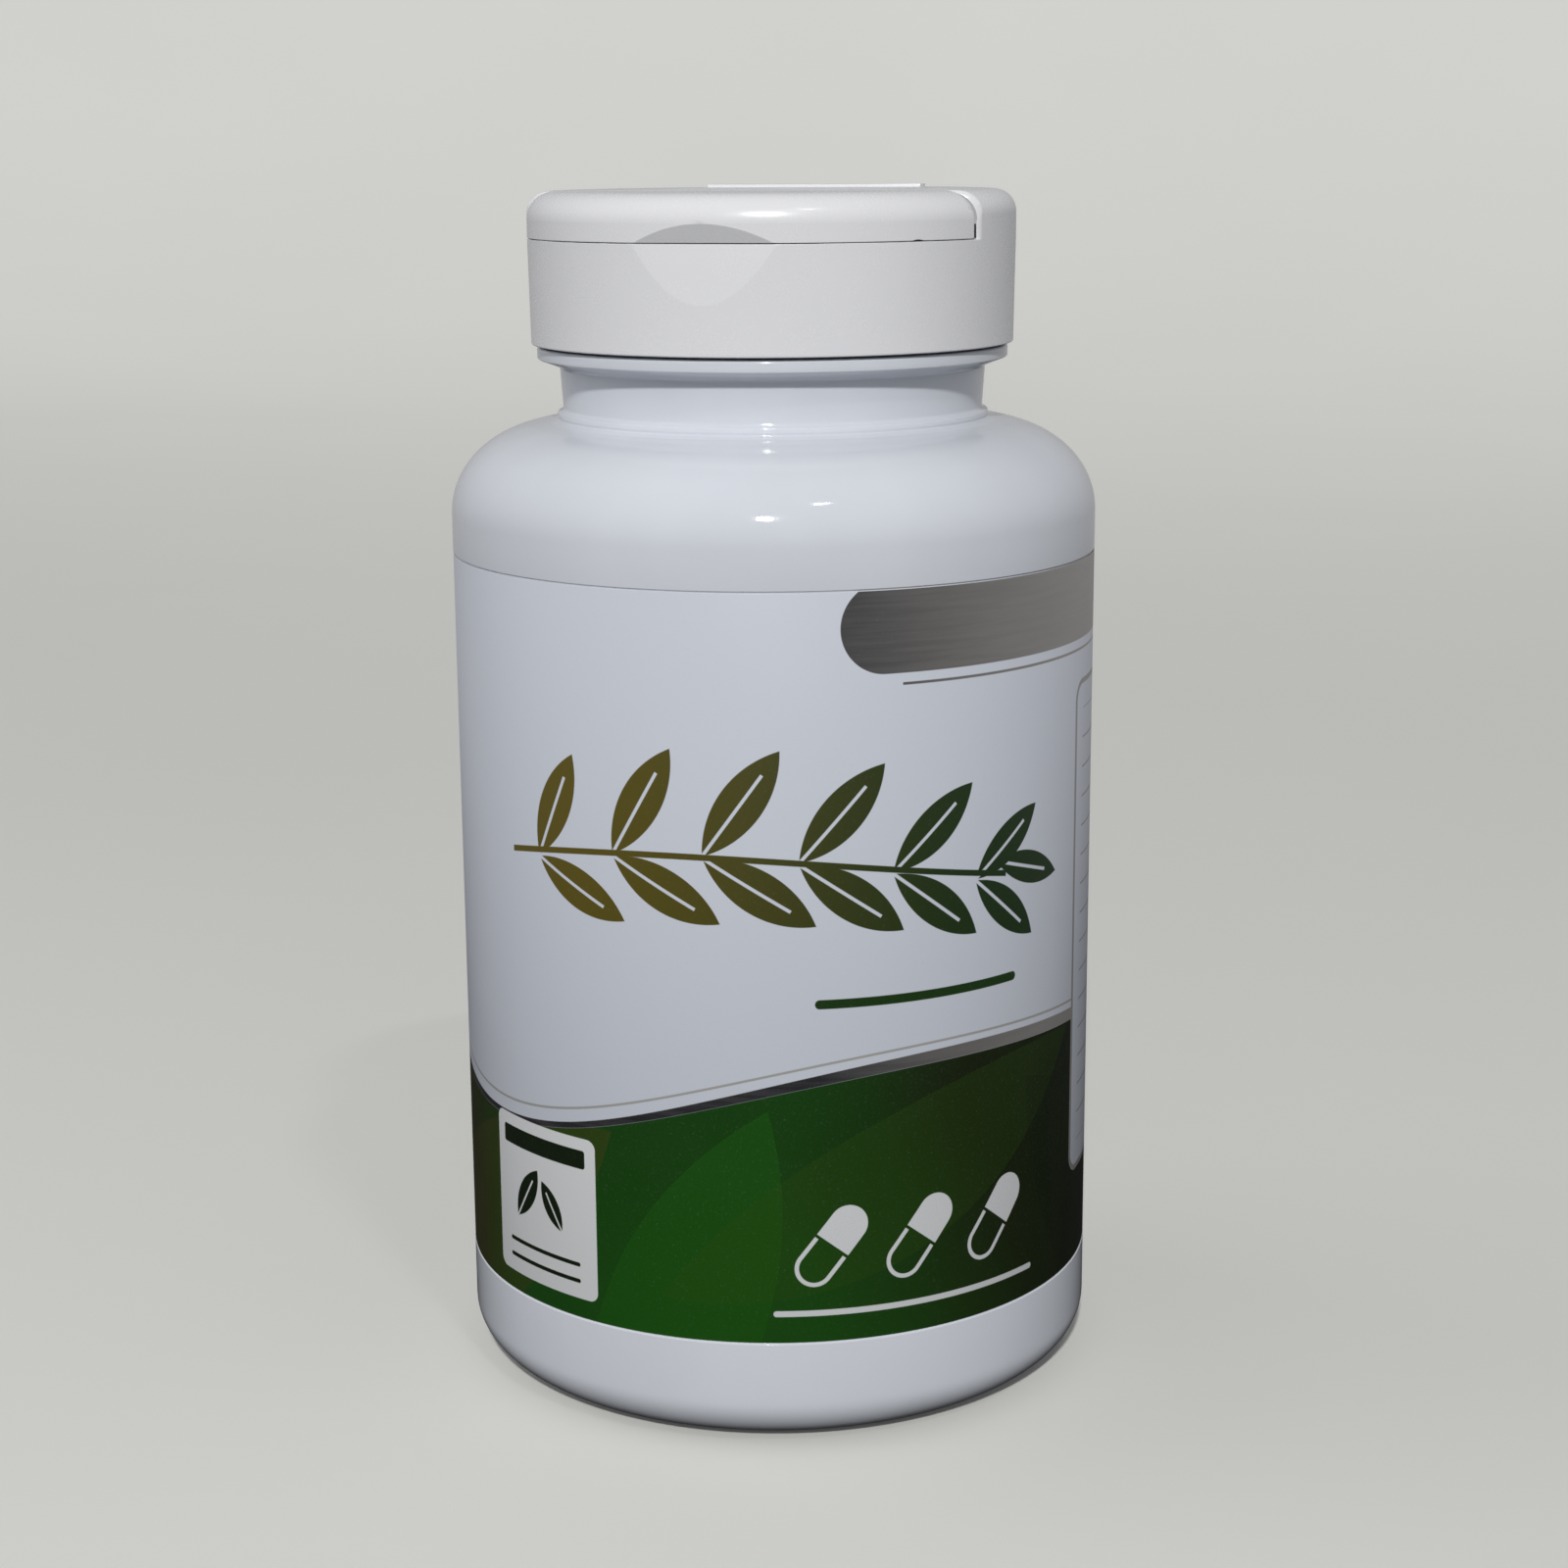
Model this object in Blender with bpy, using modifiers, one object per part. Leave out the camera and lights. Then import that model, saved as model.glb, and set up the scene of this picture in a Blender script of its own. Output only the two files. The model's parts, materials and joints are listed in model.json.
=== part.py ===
"""A round capsule bottle: threaded neck, screw cap with a flip-up lid, sealing ring and wrap label.

The bottle stands on its base ring with its axis on Z. The lid's thumb recess faces -Y, and the lid
hinges about a line along X on the cap's flat top. The cap is shown fully screwed down.
"""

import math

import bmesh
import bpy
from mathutils import Matrix

ROUND_STEPS = 64

# Bottle body
BODY_RADIUS = 0.03225
WALL = 0.00115
STANDING_RING_INNER = 0.0240
STANDING_RING_OUTER = 0.02675
HEEL_HEIGHT = 0.0046
PUSH_UP = 0.0034
FLOOR_HEIGHT = 0.0048
FLOOR_EDGE_RADIUS = 0.0254
FLOOR_EDGE_HEIGHT = 0.0014
SHOULDER_START = 0.0872
SHOULDER_RISE = 0.00875
SHOULDER_REACH = 0.0103

# Label panel, a shallow recess that the wrap label fills
PANEL_DEPTH = 0.00035
PANEL_MARGIN = 0.0004
LABEL_BOTTOM = 0.01095
LABEL_TOP = 0.0833
LABEL_GAP = 0.00015
LABEL_THICKNESS = 0.0002
LABEL_SEAM_STEP = 20

# Neck
NECK_RADIUS = 0.02103
BORE_RADIUS = 0.0194
NECK_FOOT = 0.0969
BEAD_HEIGHT = 0.0005
BEAD_PROUD = 0.0004
SUPPORT_RING_BOTTOM = 0.1021
SUPPORT_RING_TOP = 0.1035
SUPPORT_RING_RADIUS = 0.0232
RIM_TOP = 0.1115
RIM_CHAMFER = 0.0004

# Thread, one helix that the neck and the cap share
THREAD_PITCH = 0.004233
THREAD_HEIGHT = 0.0012
THREAD_ROOT_WIDTH = 0.0016
THREAD_CREST_WIDTH = 0.0007
THREAD_SINK = 0.0004
THREAD_STEPS_PER_TURN = 48
THREAD_RUN_OUT_STEPS = 4
NECK_THREAD_START = 0.1047
NECK_THREAD_TURNS = 1.25
CAP_THREAD_LEAD = 200 / 360
CAP_THREAD_TURNS = 1.0

# Sealing ring between the rim and the cap's deck
SEAL_GAP = 0.0003
SEAL_THICKNESS = 0.0008
SEAL_INNER = 0.0199
SEAL_OUTER = 0.0223

# Cap
CAP_RADIUS = 0.02407
CAP_FOOT_RADIUS = 0.0239
CAP_BORE = 0.02275
CAP_FOOT = 0.10375
CAP_LEAD_IN = 0.0003
CAP_TOP = 0.1185
TOP_ROUNDING = 0.0027
DECK_TOP = 0.1140
DECK_THICKNESS = 0.0011
POCKET_RADIUS = 0.0185
ROOF_THICKNESS = 0.0016
CHORD_WALL = 0.0012

# Raised bar on the fixed rear part of the cap's top
BAR_Y = 0.0172
BAR_LENGTH = 0.0228
BAR_WIDTH = 0.0024
BAR_PROUD = 0.0003

# Dispensing hole, a slot with round ends inside a raised rim
HOLE_Y = -0.0142
HOLE_END_RADIUS = 0.0043
HOLE_HALF_STRAIGHT = 0.0050
HOLE_RIM_WALL = 0.0010
HOLE_RIM_PROUD = 0.0010
SLOT_SEGMENTS = 32

# Flip-up lid
HINGE_Y = -0.0086
HINGE_Z = CAP_TOP + 0.0001
HINGE_GAP = 0.0003
LID_GAP = 0.00025
LID_WALL = 0.0012
LID_ROOF = 0.0013
PLUG_GAP = 0.0003
PLUG_TAPER = 0.0003
PLUG_WALL = 0.0009
PLUG_BOTTOM = 0.1140

# Thumb recess and relief notch in the lid's lower edge
THUMB_WIDTH = 0.0130
THUMB_HEIGHT = 0.0014
THUMB_BACK_Y = -0.0226
THUMB_BLOCK_Y = -0.0213
NOTCH_ANGLE = math.radians(49.8)
NOTCH_WIDTH = 0.0015
NOTCH_HEIGHT = 0.00025

# Room that a cutter leaves beyond the piece it cuts
CLEAR = 0.02
SINK = 0.0005

# Colours and surfaces
BOTTLE_WHITE = (0.80, 0.82, 0.84)
CAP_WHITE = (0.76, 0.76, 0.75)
LABEL_WHITE = (0.72, 0.73, 0.72)
SEAL_GREY = (0.60, 0.60, 0.58)


def plastic(name, colour, roughness):
    """A Principled material for one of the moulded pieces."""
    material = bpy.data.materials.new(name)
    material.use_nodes = True
    shader = material.node_tree.nodes["Principled BSDF"]
    shader.inputs["Base Color"].default_value = (*colour, 1.0)
    shader.inputs["Roughness"].default_value = roughness
    shader.inputs["Metallic"].default_value = 0.0
    material.diffuse_color = (*colour, 1.0)
    return material


def quarter_ellipse(centre, reach, rise, start, end, count):
    """Points (radius, height) along an ellipse's arc, with angles in degrees from the outward side."""
    points = []
    for index in range(count + 1):
        angle = math.radians(start + (end - start) * index / count)
        radius = centre[0] + reach * math.cos(angle)
        height = centre[1] + rise * math.sin(angle)
        points.append((radius, height))
    return points


def add_mesh(name, mesh, collection):
    piece = bpy.data.objects.new(name, mesh)
    collection.objects.link(piece)
    return piece


def turned(name, outline, collection, closed=False, steps=ROUND_STEPS, angle=2 * math.pi):
    """A piece turned about Z from an outline that runs down its outer side."""
    mesh = bpy.data.meshes.new(name)
    vertices = [(radius, 0.0, height) for radius, height in outline]
    edges = [(index, index + 1) for index in range(len(outline) - 1)]
    if closed:
        edges.append((len(outline) - 1, 0))
    mesh.from_pydata(vertices, edges, [])
    piece = add_mesh(name, mesh, collection)
    screw = piece.modifiers.new("turn", "SCREW")
    screw.axis = "Z"
    screw.angle = angle
    screw.steps = steps
    screw.render_steps = steps
    screw.use_merge_vertices = True
    screw.merge_threshold = 1e-6
    screw.use_smooth_shade = True
    return piece


def helper(piece):
    """Marks a cutter or an added shape, which is only seen through the piece that it shapes."""
    piece.hide_render = True
    piece.display_type = "WIRE"
    return piece


def boolean(piece, tool, operation):
    modifier = piece.modifiers.new(tool.name, "BOOLEAN")
    modifier.operation = operation
    modifier.solver = "EXACT"
    modifier.object = tool


def box(name, low, high, collection):
    """A box between two corners."""
    mesh = bpy.data.meshes.new(name)
    shape = bmesh.new()
    bmesh.ops.create_cube(shape, size=1.0)
    for vertex in shape.verts:
        for axis in range(3):
            vertex.co[axis] = low[axis] if vertex.co[axis] < 0 else high[axis]
    shape.to_mesh(mesh)
    shape.free()
    return add_mesh(name, mesh, collection)


def slot_prism(name, bottom_radius, top_radius, bottom, top, collection):
    """A prism with straight sides and round ends round the dispensing hole's centre line.

    It is a cone frustum whose two halves are moved apart. Half a step of turn keeps its points off
    the plane between the halves, so that the sides stay straight.
    """
    mesh = bpy.data.meshes.new(name)
    shape = bmesh.new()
    bmesh.ops.create_cone(
        shape,
        cap_ends=True,
        segments=SLOT_SEGMENTS,
        radius1=bottom_radius,
        radius2=top_radius,
        depth=top - bottom,
        matrix=Matrix.Rotation(math.pi / SLOT_SEGMENTS, 4, "Z"),
    )
    for vertex in shape.verts:
        vertex.co.x += math.copysign(HOLE_HALF_STRAIGHT, vertex.co.x)
        vertex.co.y += HOLE_Y
        vertex.co.z += (bottom + top) / 2
    shape.to_mesh(mesh)
    shape.free()
    return add_mesh(name, mesh, collection)


def thread(name, root_radius, crest_radius, first_turn, turns, offset, collection):
    """A helical ridge whose ends run out into the wall.

    It is lofted by hand between sections of changing height, which no single tool makes. The height
    of a section depends only on its turn, so the neck's and the cap's ridges stay parallel.
    """
    mesh = bpy.data.meshes.new(name)
    shape = bmesh.new()
    steps = round(turns * THREAD_STEPS_PER_TURN)
    outwards = math.copysign(1.0, crest_radius - root_radius)
    buried = root_radius - outwards * THREAD_SINK
    sections = []
    for step in range(steps + 1):
        turn = first_turn + step / THREAD_STEPS_PER_TURN
        angle = 2 * math.pi * turn
        middle = NECK_THREAD_START + THREAD_PITCH * turn + offset
        share = min(1.0, step / THREAD_RUN_OUT_STEPS, (steps - step) / THREAD_RUN_OUT_STEPS)
        lowest = root_radius - outwards * THREAD_SINK / 2
        crest = lowest + (crest_radius - lowest) * share
        section = []
        for radius, height in (
            (buried, -THREAD_ROOT_WIDTH / 2),
            (crest, -THREAD_CREST_WIDTH / 2),
            (crest, THREAD_CREST_WIDTH / 2),
            (buried, THREAD_ROOT_WIDTH / 2),
        ):
            place = (radius * math.cos(angle), radius * math.sin(angle), middle + height)
            section.append(shape.verts.new(place))
        sections.append(section)
    for section, following in zip(sections, sections[1:]):
        for side in range(4):
            after = (side + 1) % 4
            shape.faces.new((section[side], section[after], following[after], following[side]))
    shape.faces.new(sections[0])
    shape.faces.new(sections[-1])
    bmesh.ops.recalc_face_normals(shape, faces=shape.faces)
    shape.to_mesh(mesh)
    shape.free()
    return add_mesh(name, mesh, collection)


def bottle_outline():
    """The bottle's wall as one line: from the floor's middle up the inside, over the rim and down the outside."""
    inner_radius = BODY_RADIUS - PANEL_DEPTH - WALL
    panel_radius = BODY_RADIUS - PANEL_DEPTH
    panel_bottom = LABEL_BOTTOM - PANEL_MARGIN
    panel_top = LABEL_TOP + PANEL_MARGIN
    shoulder_top_radius = BODY_RADIUS - SHOULDER_REACH
    shoulder_top = SHOULDER_START + SHOULDER_RISE
    bead_top = NECK_FOOT + BEAD_HEIGHT
    floor = [(0.0, FLOOR_HEIGHT), (0.014, FLOOR_HEIGHT - 0.0003), (0.021, FLOOR_HEIGHT - 0.0014)]
    inner_heel = quarter_ellipse(
        (FLOOR_EDGE_RADIUS, FLOOR_EDGE_HEIGHT + HEEL_HEIGHT),
        inner_radius - FLOOR_EDGE_RADIUS,
        HEEL_HEIGHT,
        -90,
        0,
        4,
    )
    inner_shoulder = quarter_ellipse(
        (shoulder_top_radius, SHOULDER_START),
        inner_radius - shoulder_top_radius,
        SHOULDER_RISE - WALL,
        0,
        90,
        6,
    )
    bore = [(BORE_RADIUS + 0.0007, shoulder_top - WALL + 0.0002), (BORE_RADIUS, shoulder_top)]
    rim = [
        (BORE_RADIUS, RIM_TOP - RIM_CHAMFER / 2),
        (BORE_RADIUS + RIM_CHAMFER / 2, RIM_TOP),
        (NECK_RADIUS - RIM_CHAMFER, RIM_TOP),
        (NECK_RADIUS, RIM_TOP - RIM_CHAMFER),
    ]
    support_ring = [
        (NECK_RADIUS, SUPPORT_RING_TOP),
        (SUPPORT_RING_RADIUS - 0.0002, SUPPORT_RING_TOP),
        (SUPPORT_RING_RADIUS, SUPPORT_RING_TOP - 0.0002),
        (SUPPORT_RING_RADIUS, SUPPORT_RING_BOTTOM + 0.0006),
        (SUPPORT_RING_RADIUS - 0.0005, SUPPORT_RING_BOTTOM + 0.0001),
        (NECK_RADIUS + 0.0006, SUPPORT_RING_BOTTOM - 0.0002),
        (NECK_RADIUS, SUPPORT_RING_BOTTOM - 0.0008),
    ]
    bead = [
        (NECK_RADIUS, bead_top + 0.0001),
        (NECK_RADIUS + BEAD_PROUD, bead_top - BEAD_HEIGHT / 4),
        (NECK_RADIUS + BEAD_PROUD, NECK_FOOT + BEAD_HEIGHT / 4),
    ]
    outer_shoulder = quarter_ellipse(
        (shoulder_top_radius, SHOULDER_START), SHOULDER_REACH, SHOULDER_RISE, 90, 0, 8
    )
    panel = [
        (BODY_RADIUS, panel_top + PANEL_DEPTH),
        (panel_radius, panel_top),
        (panel_radius, panel_bottom),
        (BODY_RADIUS, panel_bottom - PANEL_DEPTH),
    ]
    outer_heel = quarter_ellipse(
        (STANDING_RING_OUTER, HEEL_HEIGHT),
        BODY_RADIUS - STANDING_RING_OUTER,
        HEEL_HEIGHT,
        0,
        -90,
        5,
    )
    underside = [
        (STANDING_RING_INNER, 0.0),
        (STANDING_RING_INNER - 0.0012, 0.0008),
        (STANDING_RING_INNER - 0.0040, PUSH_UP - 0.0014),
        (0.014, PUSH_UP - 0.0003),
        (0.0, PUSH_UP),
    ]
    inside = floor + inner_heel + inner_shoulder + bore
    outside = support_ring + bead + outer_shoulder + panel + outer_heel + underside
    return inside + rim + outside


def make_bottle(pieces, tools):
    bottle = turned("bottle", bottle_outline(), pieces)
    ridge = thread(
        "neck_thread",
        NECK_RADIUS,
        NECK_RADIUS + THREAD_HEIGHT,
        0.0,
        NECK_THREAD_TURNS,
        0.0,
        tools,
    )
    boolean(bottle, helper(ridge), "UNION")
    bottle.data.materials.append(plastic("bottle_plastic", BOTTLE_WHITE, 0.28))
    return bottle


def make_label(pieces):
    """The wrap label: a sheet bent round the panel, with its seam at the back left open."""
    radius = BODY_RADIUS - PANEL_DEPTH + LABEL_GAP
    step = 2 * math.pi / ROUND_STEPS
    outline = [(radius, LABEL_TOP), (radius, LABEL_BOTTOM)]
    steps = ROUND_STEPS - 1
    label = turned("label", outline, pieces, steps=steps, angle=steps * step)
    label.rotation_euler.z = LABEL_SEAM_STEP * step
    sheet = label.modifiers.new("sheet", "SOLIDIFY")
    sheet.thickness = LABEL_THICKNESS
    sheet.offset = 1.0
    sheet.use_even_offset = True
    label.data.materials.append(plastic("label_film", LABEL_WHITE, 0.42))
    return label


def make_seal(pieces):
    bottom = RIM_TOP + SEAL_GAP
    top = bottom + SEAL_THICKNESS
    outline = [(SEAL_INNER, top), (SEAL_OUTER, top), (SEAL_OUTER, bottom), (SEAL_INNER, bottom)]
    seal = turned("sealing_ring", outline, pieces, closed=True)
    seal.data.materials.append(plastic("seal_foam", SEAL_GREY, 0.7))
    return seal


def top_edge():
    """The round upper edge that the fixed part of the cap and the lid share."""
    centre = (CAP_RADIUS - TOP_ROUNDING, CAP_TOP - TOP_ROUNDING)
    return quarter_ellipse(centre, TOP_ROUNDING, TOP_ROUNDING, 90, 0, 6)


def make_cap(pieces, tools):
    """The cap: skirt, deck with the dispensing hole, and the fixed rear part of the top."""
    deck_bottom = DECK_TOP - DECK_THICKNESS
    outline = [(0.0, CAP_TOP)] + top_edge()
    outline += [
        (CAP_FOOT_RADIUS, CAP_FOOT + CAP_LEAD_IN),
        (CAP_FOOT_RADIUS - CAP_LEAD_IN, CAP_FOOT),
        (CAP_BORE + CAP_LEAD_IN, CAP_FOOT),
        (CAP_BORE, CAP_FOOT + 2 * CAP_LEAD_IN),
        (CAP_BORE, deck_bottom),
        (0.0, deck_bottom),
    ]
    cap = turned("cap", outline, pieces)

    lid_space = box(
        "lid_space",
        (-CAP_RADIUS - CLEAR, -CAP_RADIUS - CLEAR, DECK_TOP),
        (CAP_RADIUS + CLEAR, HINGE_Y + HINGE_GAP / 2, CAP_TOP + CLEAR),
        tools,
    )
    boolean(cap, helper(lid_space), "DIFFERENCE")

    rim_radius = HOLE_END_RADIUS + HOLE_RIM_WALL
    rim = slot_prism("hole_rim", rim_radius, rim_radius, DECK_TOP - SINK, DECK_TOP + HOLE_RIM_PROUD, tools)
    boolean(cap, helper(rim), "UNION")
    hole = slot_prism(
        "dispensing_hole",
        HOLE_END_RADIUS,
        HOLE_END_RADIUS,
        deck_bottom - DECK_THICKNESS,
        DECK_TOP + 2 * HOLE_RIM_PROUD,
        tools,
    )
    boolean(cap, helper(hole), "DIFFERENCE")

    pocket_top = CAP_TOP - ROOF_THICKNESS
    pocket_bottom = deck_bottom - DECK_THICKNESS
    pocket_outline = [(0.0, pocket_top), (POCKET_RADIUS, pocket_top)]
    pocket_outline += [(POCKET_RADIUS, pocket_bottom), (0.0, pocket_bottom)]
    pocket = turned("rear_pocket", pocket_outline, tools)
    pocket_side = box(
        "rear_pocket_side",
        (-CAP_RADIUS, HINGE_Y + HINGE_GAP / 2 + CHORD_WALL, pocket_bottom - CLEAR),
        (CAP_RADIUS, CAP_RADIUS, pocket_top + CLEAR),
        tools,
    )
    boolean(pocket, helper(pocket_side), "INTERSECT")
    boolean(cap, helper(pocket), "DIFFERENCE")

    ridge = thread(
        "cap_thread",
        CAP_BORE,
        CAP_BORE - THREAD_HEIGHT,
        CAP_THREAD_LEAD,
        CAP_THREAD_TURNS,
        -THREAD_PITCH / 2,
        tools,
    )
    boolean(cap, helper(ridge), "UNION")

    bar = box(
        "top_bar",
        (-BAR_LENGTH / 2, BAR_Y - BAR_WIDTH / 2, CAP_TOP - SINK),
        (BAR_LENGTH / 2, BAR_Y + BAR_WIDTH / 2, CAP_TOP + BAR_PROUD),
        tools,
    )
    boolean(cap, helper(bar), "UNION")
    cap.data.materials.append(plastic("cap_plastic", CAP_WHITE, 0.36))
    return cap


def make_lid(pieces, tools):
    """The flip-up lid: a half-moon tray with a plug ring that fits the dispensing hole."""
    bottom = DECK_TOP + LID_GAP
    rear = HINGE_Y - HINGE_GAP / 2
    outline = [(0.0, CAP_TOP)] + top_edge() + [(CAP_RADIUS, bottom), (0.0, bottom)]
    lid = turned("lid", outline, pieces)

    side = box(
        "lid_side",
        (-CAP_RADIUS - CLEAR, -CAP_RADIUS - CLEAR, bottom - CLEAR),
        (CAP_RADIUS + CLEAR, rear, CAP_TOP + CLEAR),
        tools,
    )
    boolean(lid, helper(side), "INTERSECT")

    hollow_top = CAP_TOP - LID_ROOF
    hollow_radius = CAP_RADIUS - LID_WALL
    hollow_outline = [(0.0, hollow_top), (hollow_radius - 0.0012, hollow_top)]
    hollow_outline += [(hollow_radius, hollow_top - 0.0012)]
    hollow_outline += [(hollow_radius, bottom - CLEAR), (0.0, bottom - CLEAR)]
    hollow = turned("lid_hollow", hollow_outline, tools)
    block = box(
        "thumb_block",
        (-CAP_RADIUS - CLEAR, -CAP_RADIUS - CLEAR, bottom - 2 * CLEAR),
        (CAP_RADIUS + CLEAR, THUMB_BLOCK_Y, CAP_TOP + CLEAR),
        tools,
    )
    boolean(hollow, helper(block), "DIFFERENCE")
    boolean(lid, helper(hollow), "DIFFERENCE")

    plug_radius = HOLE_END_RADIUS - PLUG_GAP
    bore_radius = plug_radius - PLUG_TAPER - PLUG_WALL
    plug = slot_prism(
        "lid_plug",
        plug_radius - PLUG_TAPER,
        plug_radius,
        PLUG_BOTTOM,
        hollow_top + SINK,
        tools,
    )
    plug_bore = slot_prism(
        "lid_plug_bore", bore_radius, bore_radius, PLUG_BOTTOM - SINK, hollow_top, tools
    )
    boolean(plug, helper(plug_bore), "DIFFERENCE")
    boolean(lid, helper(plug), "UNION")

    arc_radius = (THUMB_WIDTH**2 / 4 + THUMB_HEIGHT**2) / (2 * THUMB_HEIGHT)
    mesh = bpy.data.meshes.new("thumb_recess")
    shape = bmesh.new()
    depth = CAP_RADIUS + CLEAR + THUMB_BACK_Y
    place = (0.0, THUMB_BACK_Y - depth / 2, bottom + THUMB_HEIGHT - arc_radius)
    bmesh.ops.create_cone(
        shape,
        cap_ends=True,
        segments=128,
        radius1=arc_radius,
        radius2=arc_radius,
        depth=depth,
        matrix=Matrix.Translation(place) @ Matrix.Rotation(math.pi / 2, 4, "X"),
    )
    shape.to_mesh(mesh)
    shape.free()
    thumb = add_mesh("thumb_recess", mesh, tools)
    boolean(lid, helper(thumb), "DIFFERENCE")

    notch = box(
        "relief_notch",
        (-NOTCH_WIDTH / 2, -CAP_RADIUS - CLEAR, bottom - SINK),
        (NOTCH_WIDTH / 2, -CAP_RADIUS + 2 * LID_WALL, bottom + NOTCH_HEIGHT),
        tools,
    )
    notch.rotation_euler.z = NOTCH_ANGLE
    boolean(lid, helper(notch), "DIFFERENCE")

    hinge = bpy.data.objects.new("lid_hinge_axis", None)
    hinge.location = (0.0, HINGE_Y, HINGE_Z)
    pieces.objects.link(hinge)
    lid.parent = hinge
    lid.location = (0.0, -HINGE_Y, -HINGE_Z)
    lid.data.materials.append(plastic("lid_plastic", CAP_WHITE, 0.36))
    return lid


def main():
    for leftover in list(bpy.data.objects):
        bpy.data.objects.remove(leftover, do_unlink=True)
    pieces = bpy.data.collections.new("capsule_bottle")
    tools = bpy.data.collections.new("cutters")
    bpy.context.scene.collection.children.link(pieces)
    bpy.context.scene.collection.children.link(tools)
    make_bottle(pieces, tools)
    make_label(pieces)
    make_seal(pieces)
    make_cap(pieces, tools)
    make_lid(pieces, tools)


main()
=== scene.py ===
"""Looks of a white capsule bottle: blown bottle, printed wrap label, screw cap, flip-up lid and seal."""

import json
import math

import bmesh
import bpy
from bpy.props import FloatProperty, FloatVectorProperty, IntProperty
from mathutils import Matrix, Vector


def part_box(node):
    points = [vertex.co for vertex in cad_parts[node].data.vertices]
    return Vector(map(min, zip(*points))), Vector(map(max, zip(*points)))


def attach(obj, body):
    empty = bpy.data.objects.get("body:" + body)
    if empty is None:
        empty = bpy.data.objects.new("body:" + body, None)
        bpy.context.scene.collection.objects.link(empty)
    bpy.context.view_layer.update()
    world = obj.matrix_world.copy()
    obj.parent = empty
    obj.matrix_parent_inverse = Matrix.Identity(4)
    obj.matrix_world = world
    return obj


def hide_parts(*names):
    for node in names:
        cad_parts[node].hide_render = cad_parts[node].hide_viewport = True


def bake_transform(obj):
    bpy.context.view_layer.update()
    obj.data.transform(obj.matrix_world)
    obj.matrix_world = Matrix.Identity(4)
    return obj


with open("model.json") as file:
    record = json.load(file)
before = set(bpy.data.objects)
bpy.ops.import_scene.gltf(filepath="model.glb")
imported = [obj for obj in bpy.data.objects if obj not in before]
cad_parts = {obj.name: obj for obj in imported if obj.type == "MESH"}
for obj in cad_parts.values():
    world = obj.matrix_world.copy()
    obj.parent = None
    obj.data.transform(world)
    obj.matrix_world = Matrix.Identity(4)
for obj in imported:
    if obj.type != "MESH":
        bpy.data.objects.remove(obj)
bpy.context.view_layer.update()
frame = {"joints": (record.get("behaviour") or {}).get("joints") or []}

bl_info = {
    "name": "Capsule Bottle",
    "version": (1, 0, 0),
    "blender": (4, 5, 0),
    "location": "3D View > Sidebar > Capsule Bottle",
    "description": "Builds a capsule bottle with a flip-up lid and a printed wrap label",
    "category": "Add Mesh",
}

MM = 0.001
BOTTLE_LOW, BOTTLE_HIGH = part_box("bottle")
LABEL_LOW, LABEL_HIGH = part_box("label")
CAP_LOW, CAP_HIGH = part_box("cap")
LID_LOW, LID_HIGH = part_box("lid")
SEAL_LOW, SEAL_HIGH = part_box("sealing_ring")
HINGE = Vector(next(j["pos_m"] for j in frame["joints"] if j["name"] == "lid_hinge"))

# The label's printed front and the photo's viewpoint lie this far round from the lid's thumb recess
FRONT_TURN = math.radians(15.65)

# Slants in degrees of the thumb recess's two flats, on the skirt and on the lid
CAP_LEAN, LID_LEAN = -9.5, 28.5

# A length past the bottle's sides, and heights under and over the cap, for the blocks that cut
FAR, LOW, HIGH = 0.06, 0.05, 0.18

# How far a thread's root lies inside the wall that carries it
THREAD_SINK = 0.0004

# The height that the lamps point at
LAMP_AIM = 0.07


def length(name, description, default):
    return FloatProperty(name=name, description=description, default=default, unit="LENGTH")


def colour(name, description, default):
    return FloatVectorProperty(
        name=name, description=description, default=default, subtype="COLOR", size=3, min=0.0, max=1.0
    )


class BottleSizes(bpy.types.PropertyGroup):
    """Sizes of the blown bottle."""

    body_radius: length("Body radius", "Half of the body's width", BOTTLE_HIGH.x)
    wall: length("Wall", "Thickness of the body's wall", 0.00115)
    heel_height: length("Heel height", "Height of the round edge at the base", 0.0046)
    ring_inner: length("Standing ring, inner", "Inner radius of the ring it stands on", 0.0240)
    ring_outer: length("Standing ring, outer", "Outer radius of the ring it stands on", 0.02675)
    push_up: length("Push-up", "Height of the hollow under the base", 0.0034)
    shoulder_start: length("Shoulder start", "Height where the shoulder begins", 0.0872)
    shoulder_rise: length("Shoulder rise", "Height of the round shoulder", 0.00885)
    shoulder_reach: length("Shoulder reach", "Width of the round shoulder", 0.0103)
    neck_radius: length("Neck radius", "Outer radius of the neck's wall", 0.02103)
    bore_radius: length("Bore radius", "Inner radius of the neck", 0.0194)
    rim_top: length("Rim top", "Height of the mouth", BOTTLE_HIGH.z)
    ring_radius: length("Support ring", "Radius of the ring under the cap", 0.02338)
    ring_bottom: length("Support ring, bottom", "Height of the ring's lower edge", 0.10235)
    ring_top: length("Support ring, top", "Height of the ring's upper face", 0.1035)
    panel_depth: length("Label panel", "Depth of the step that the label lies in", 0.00012)


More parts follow.
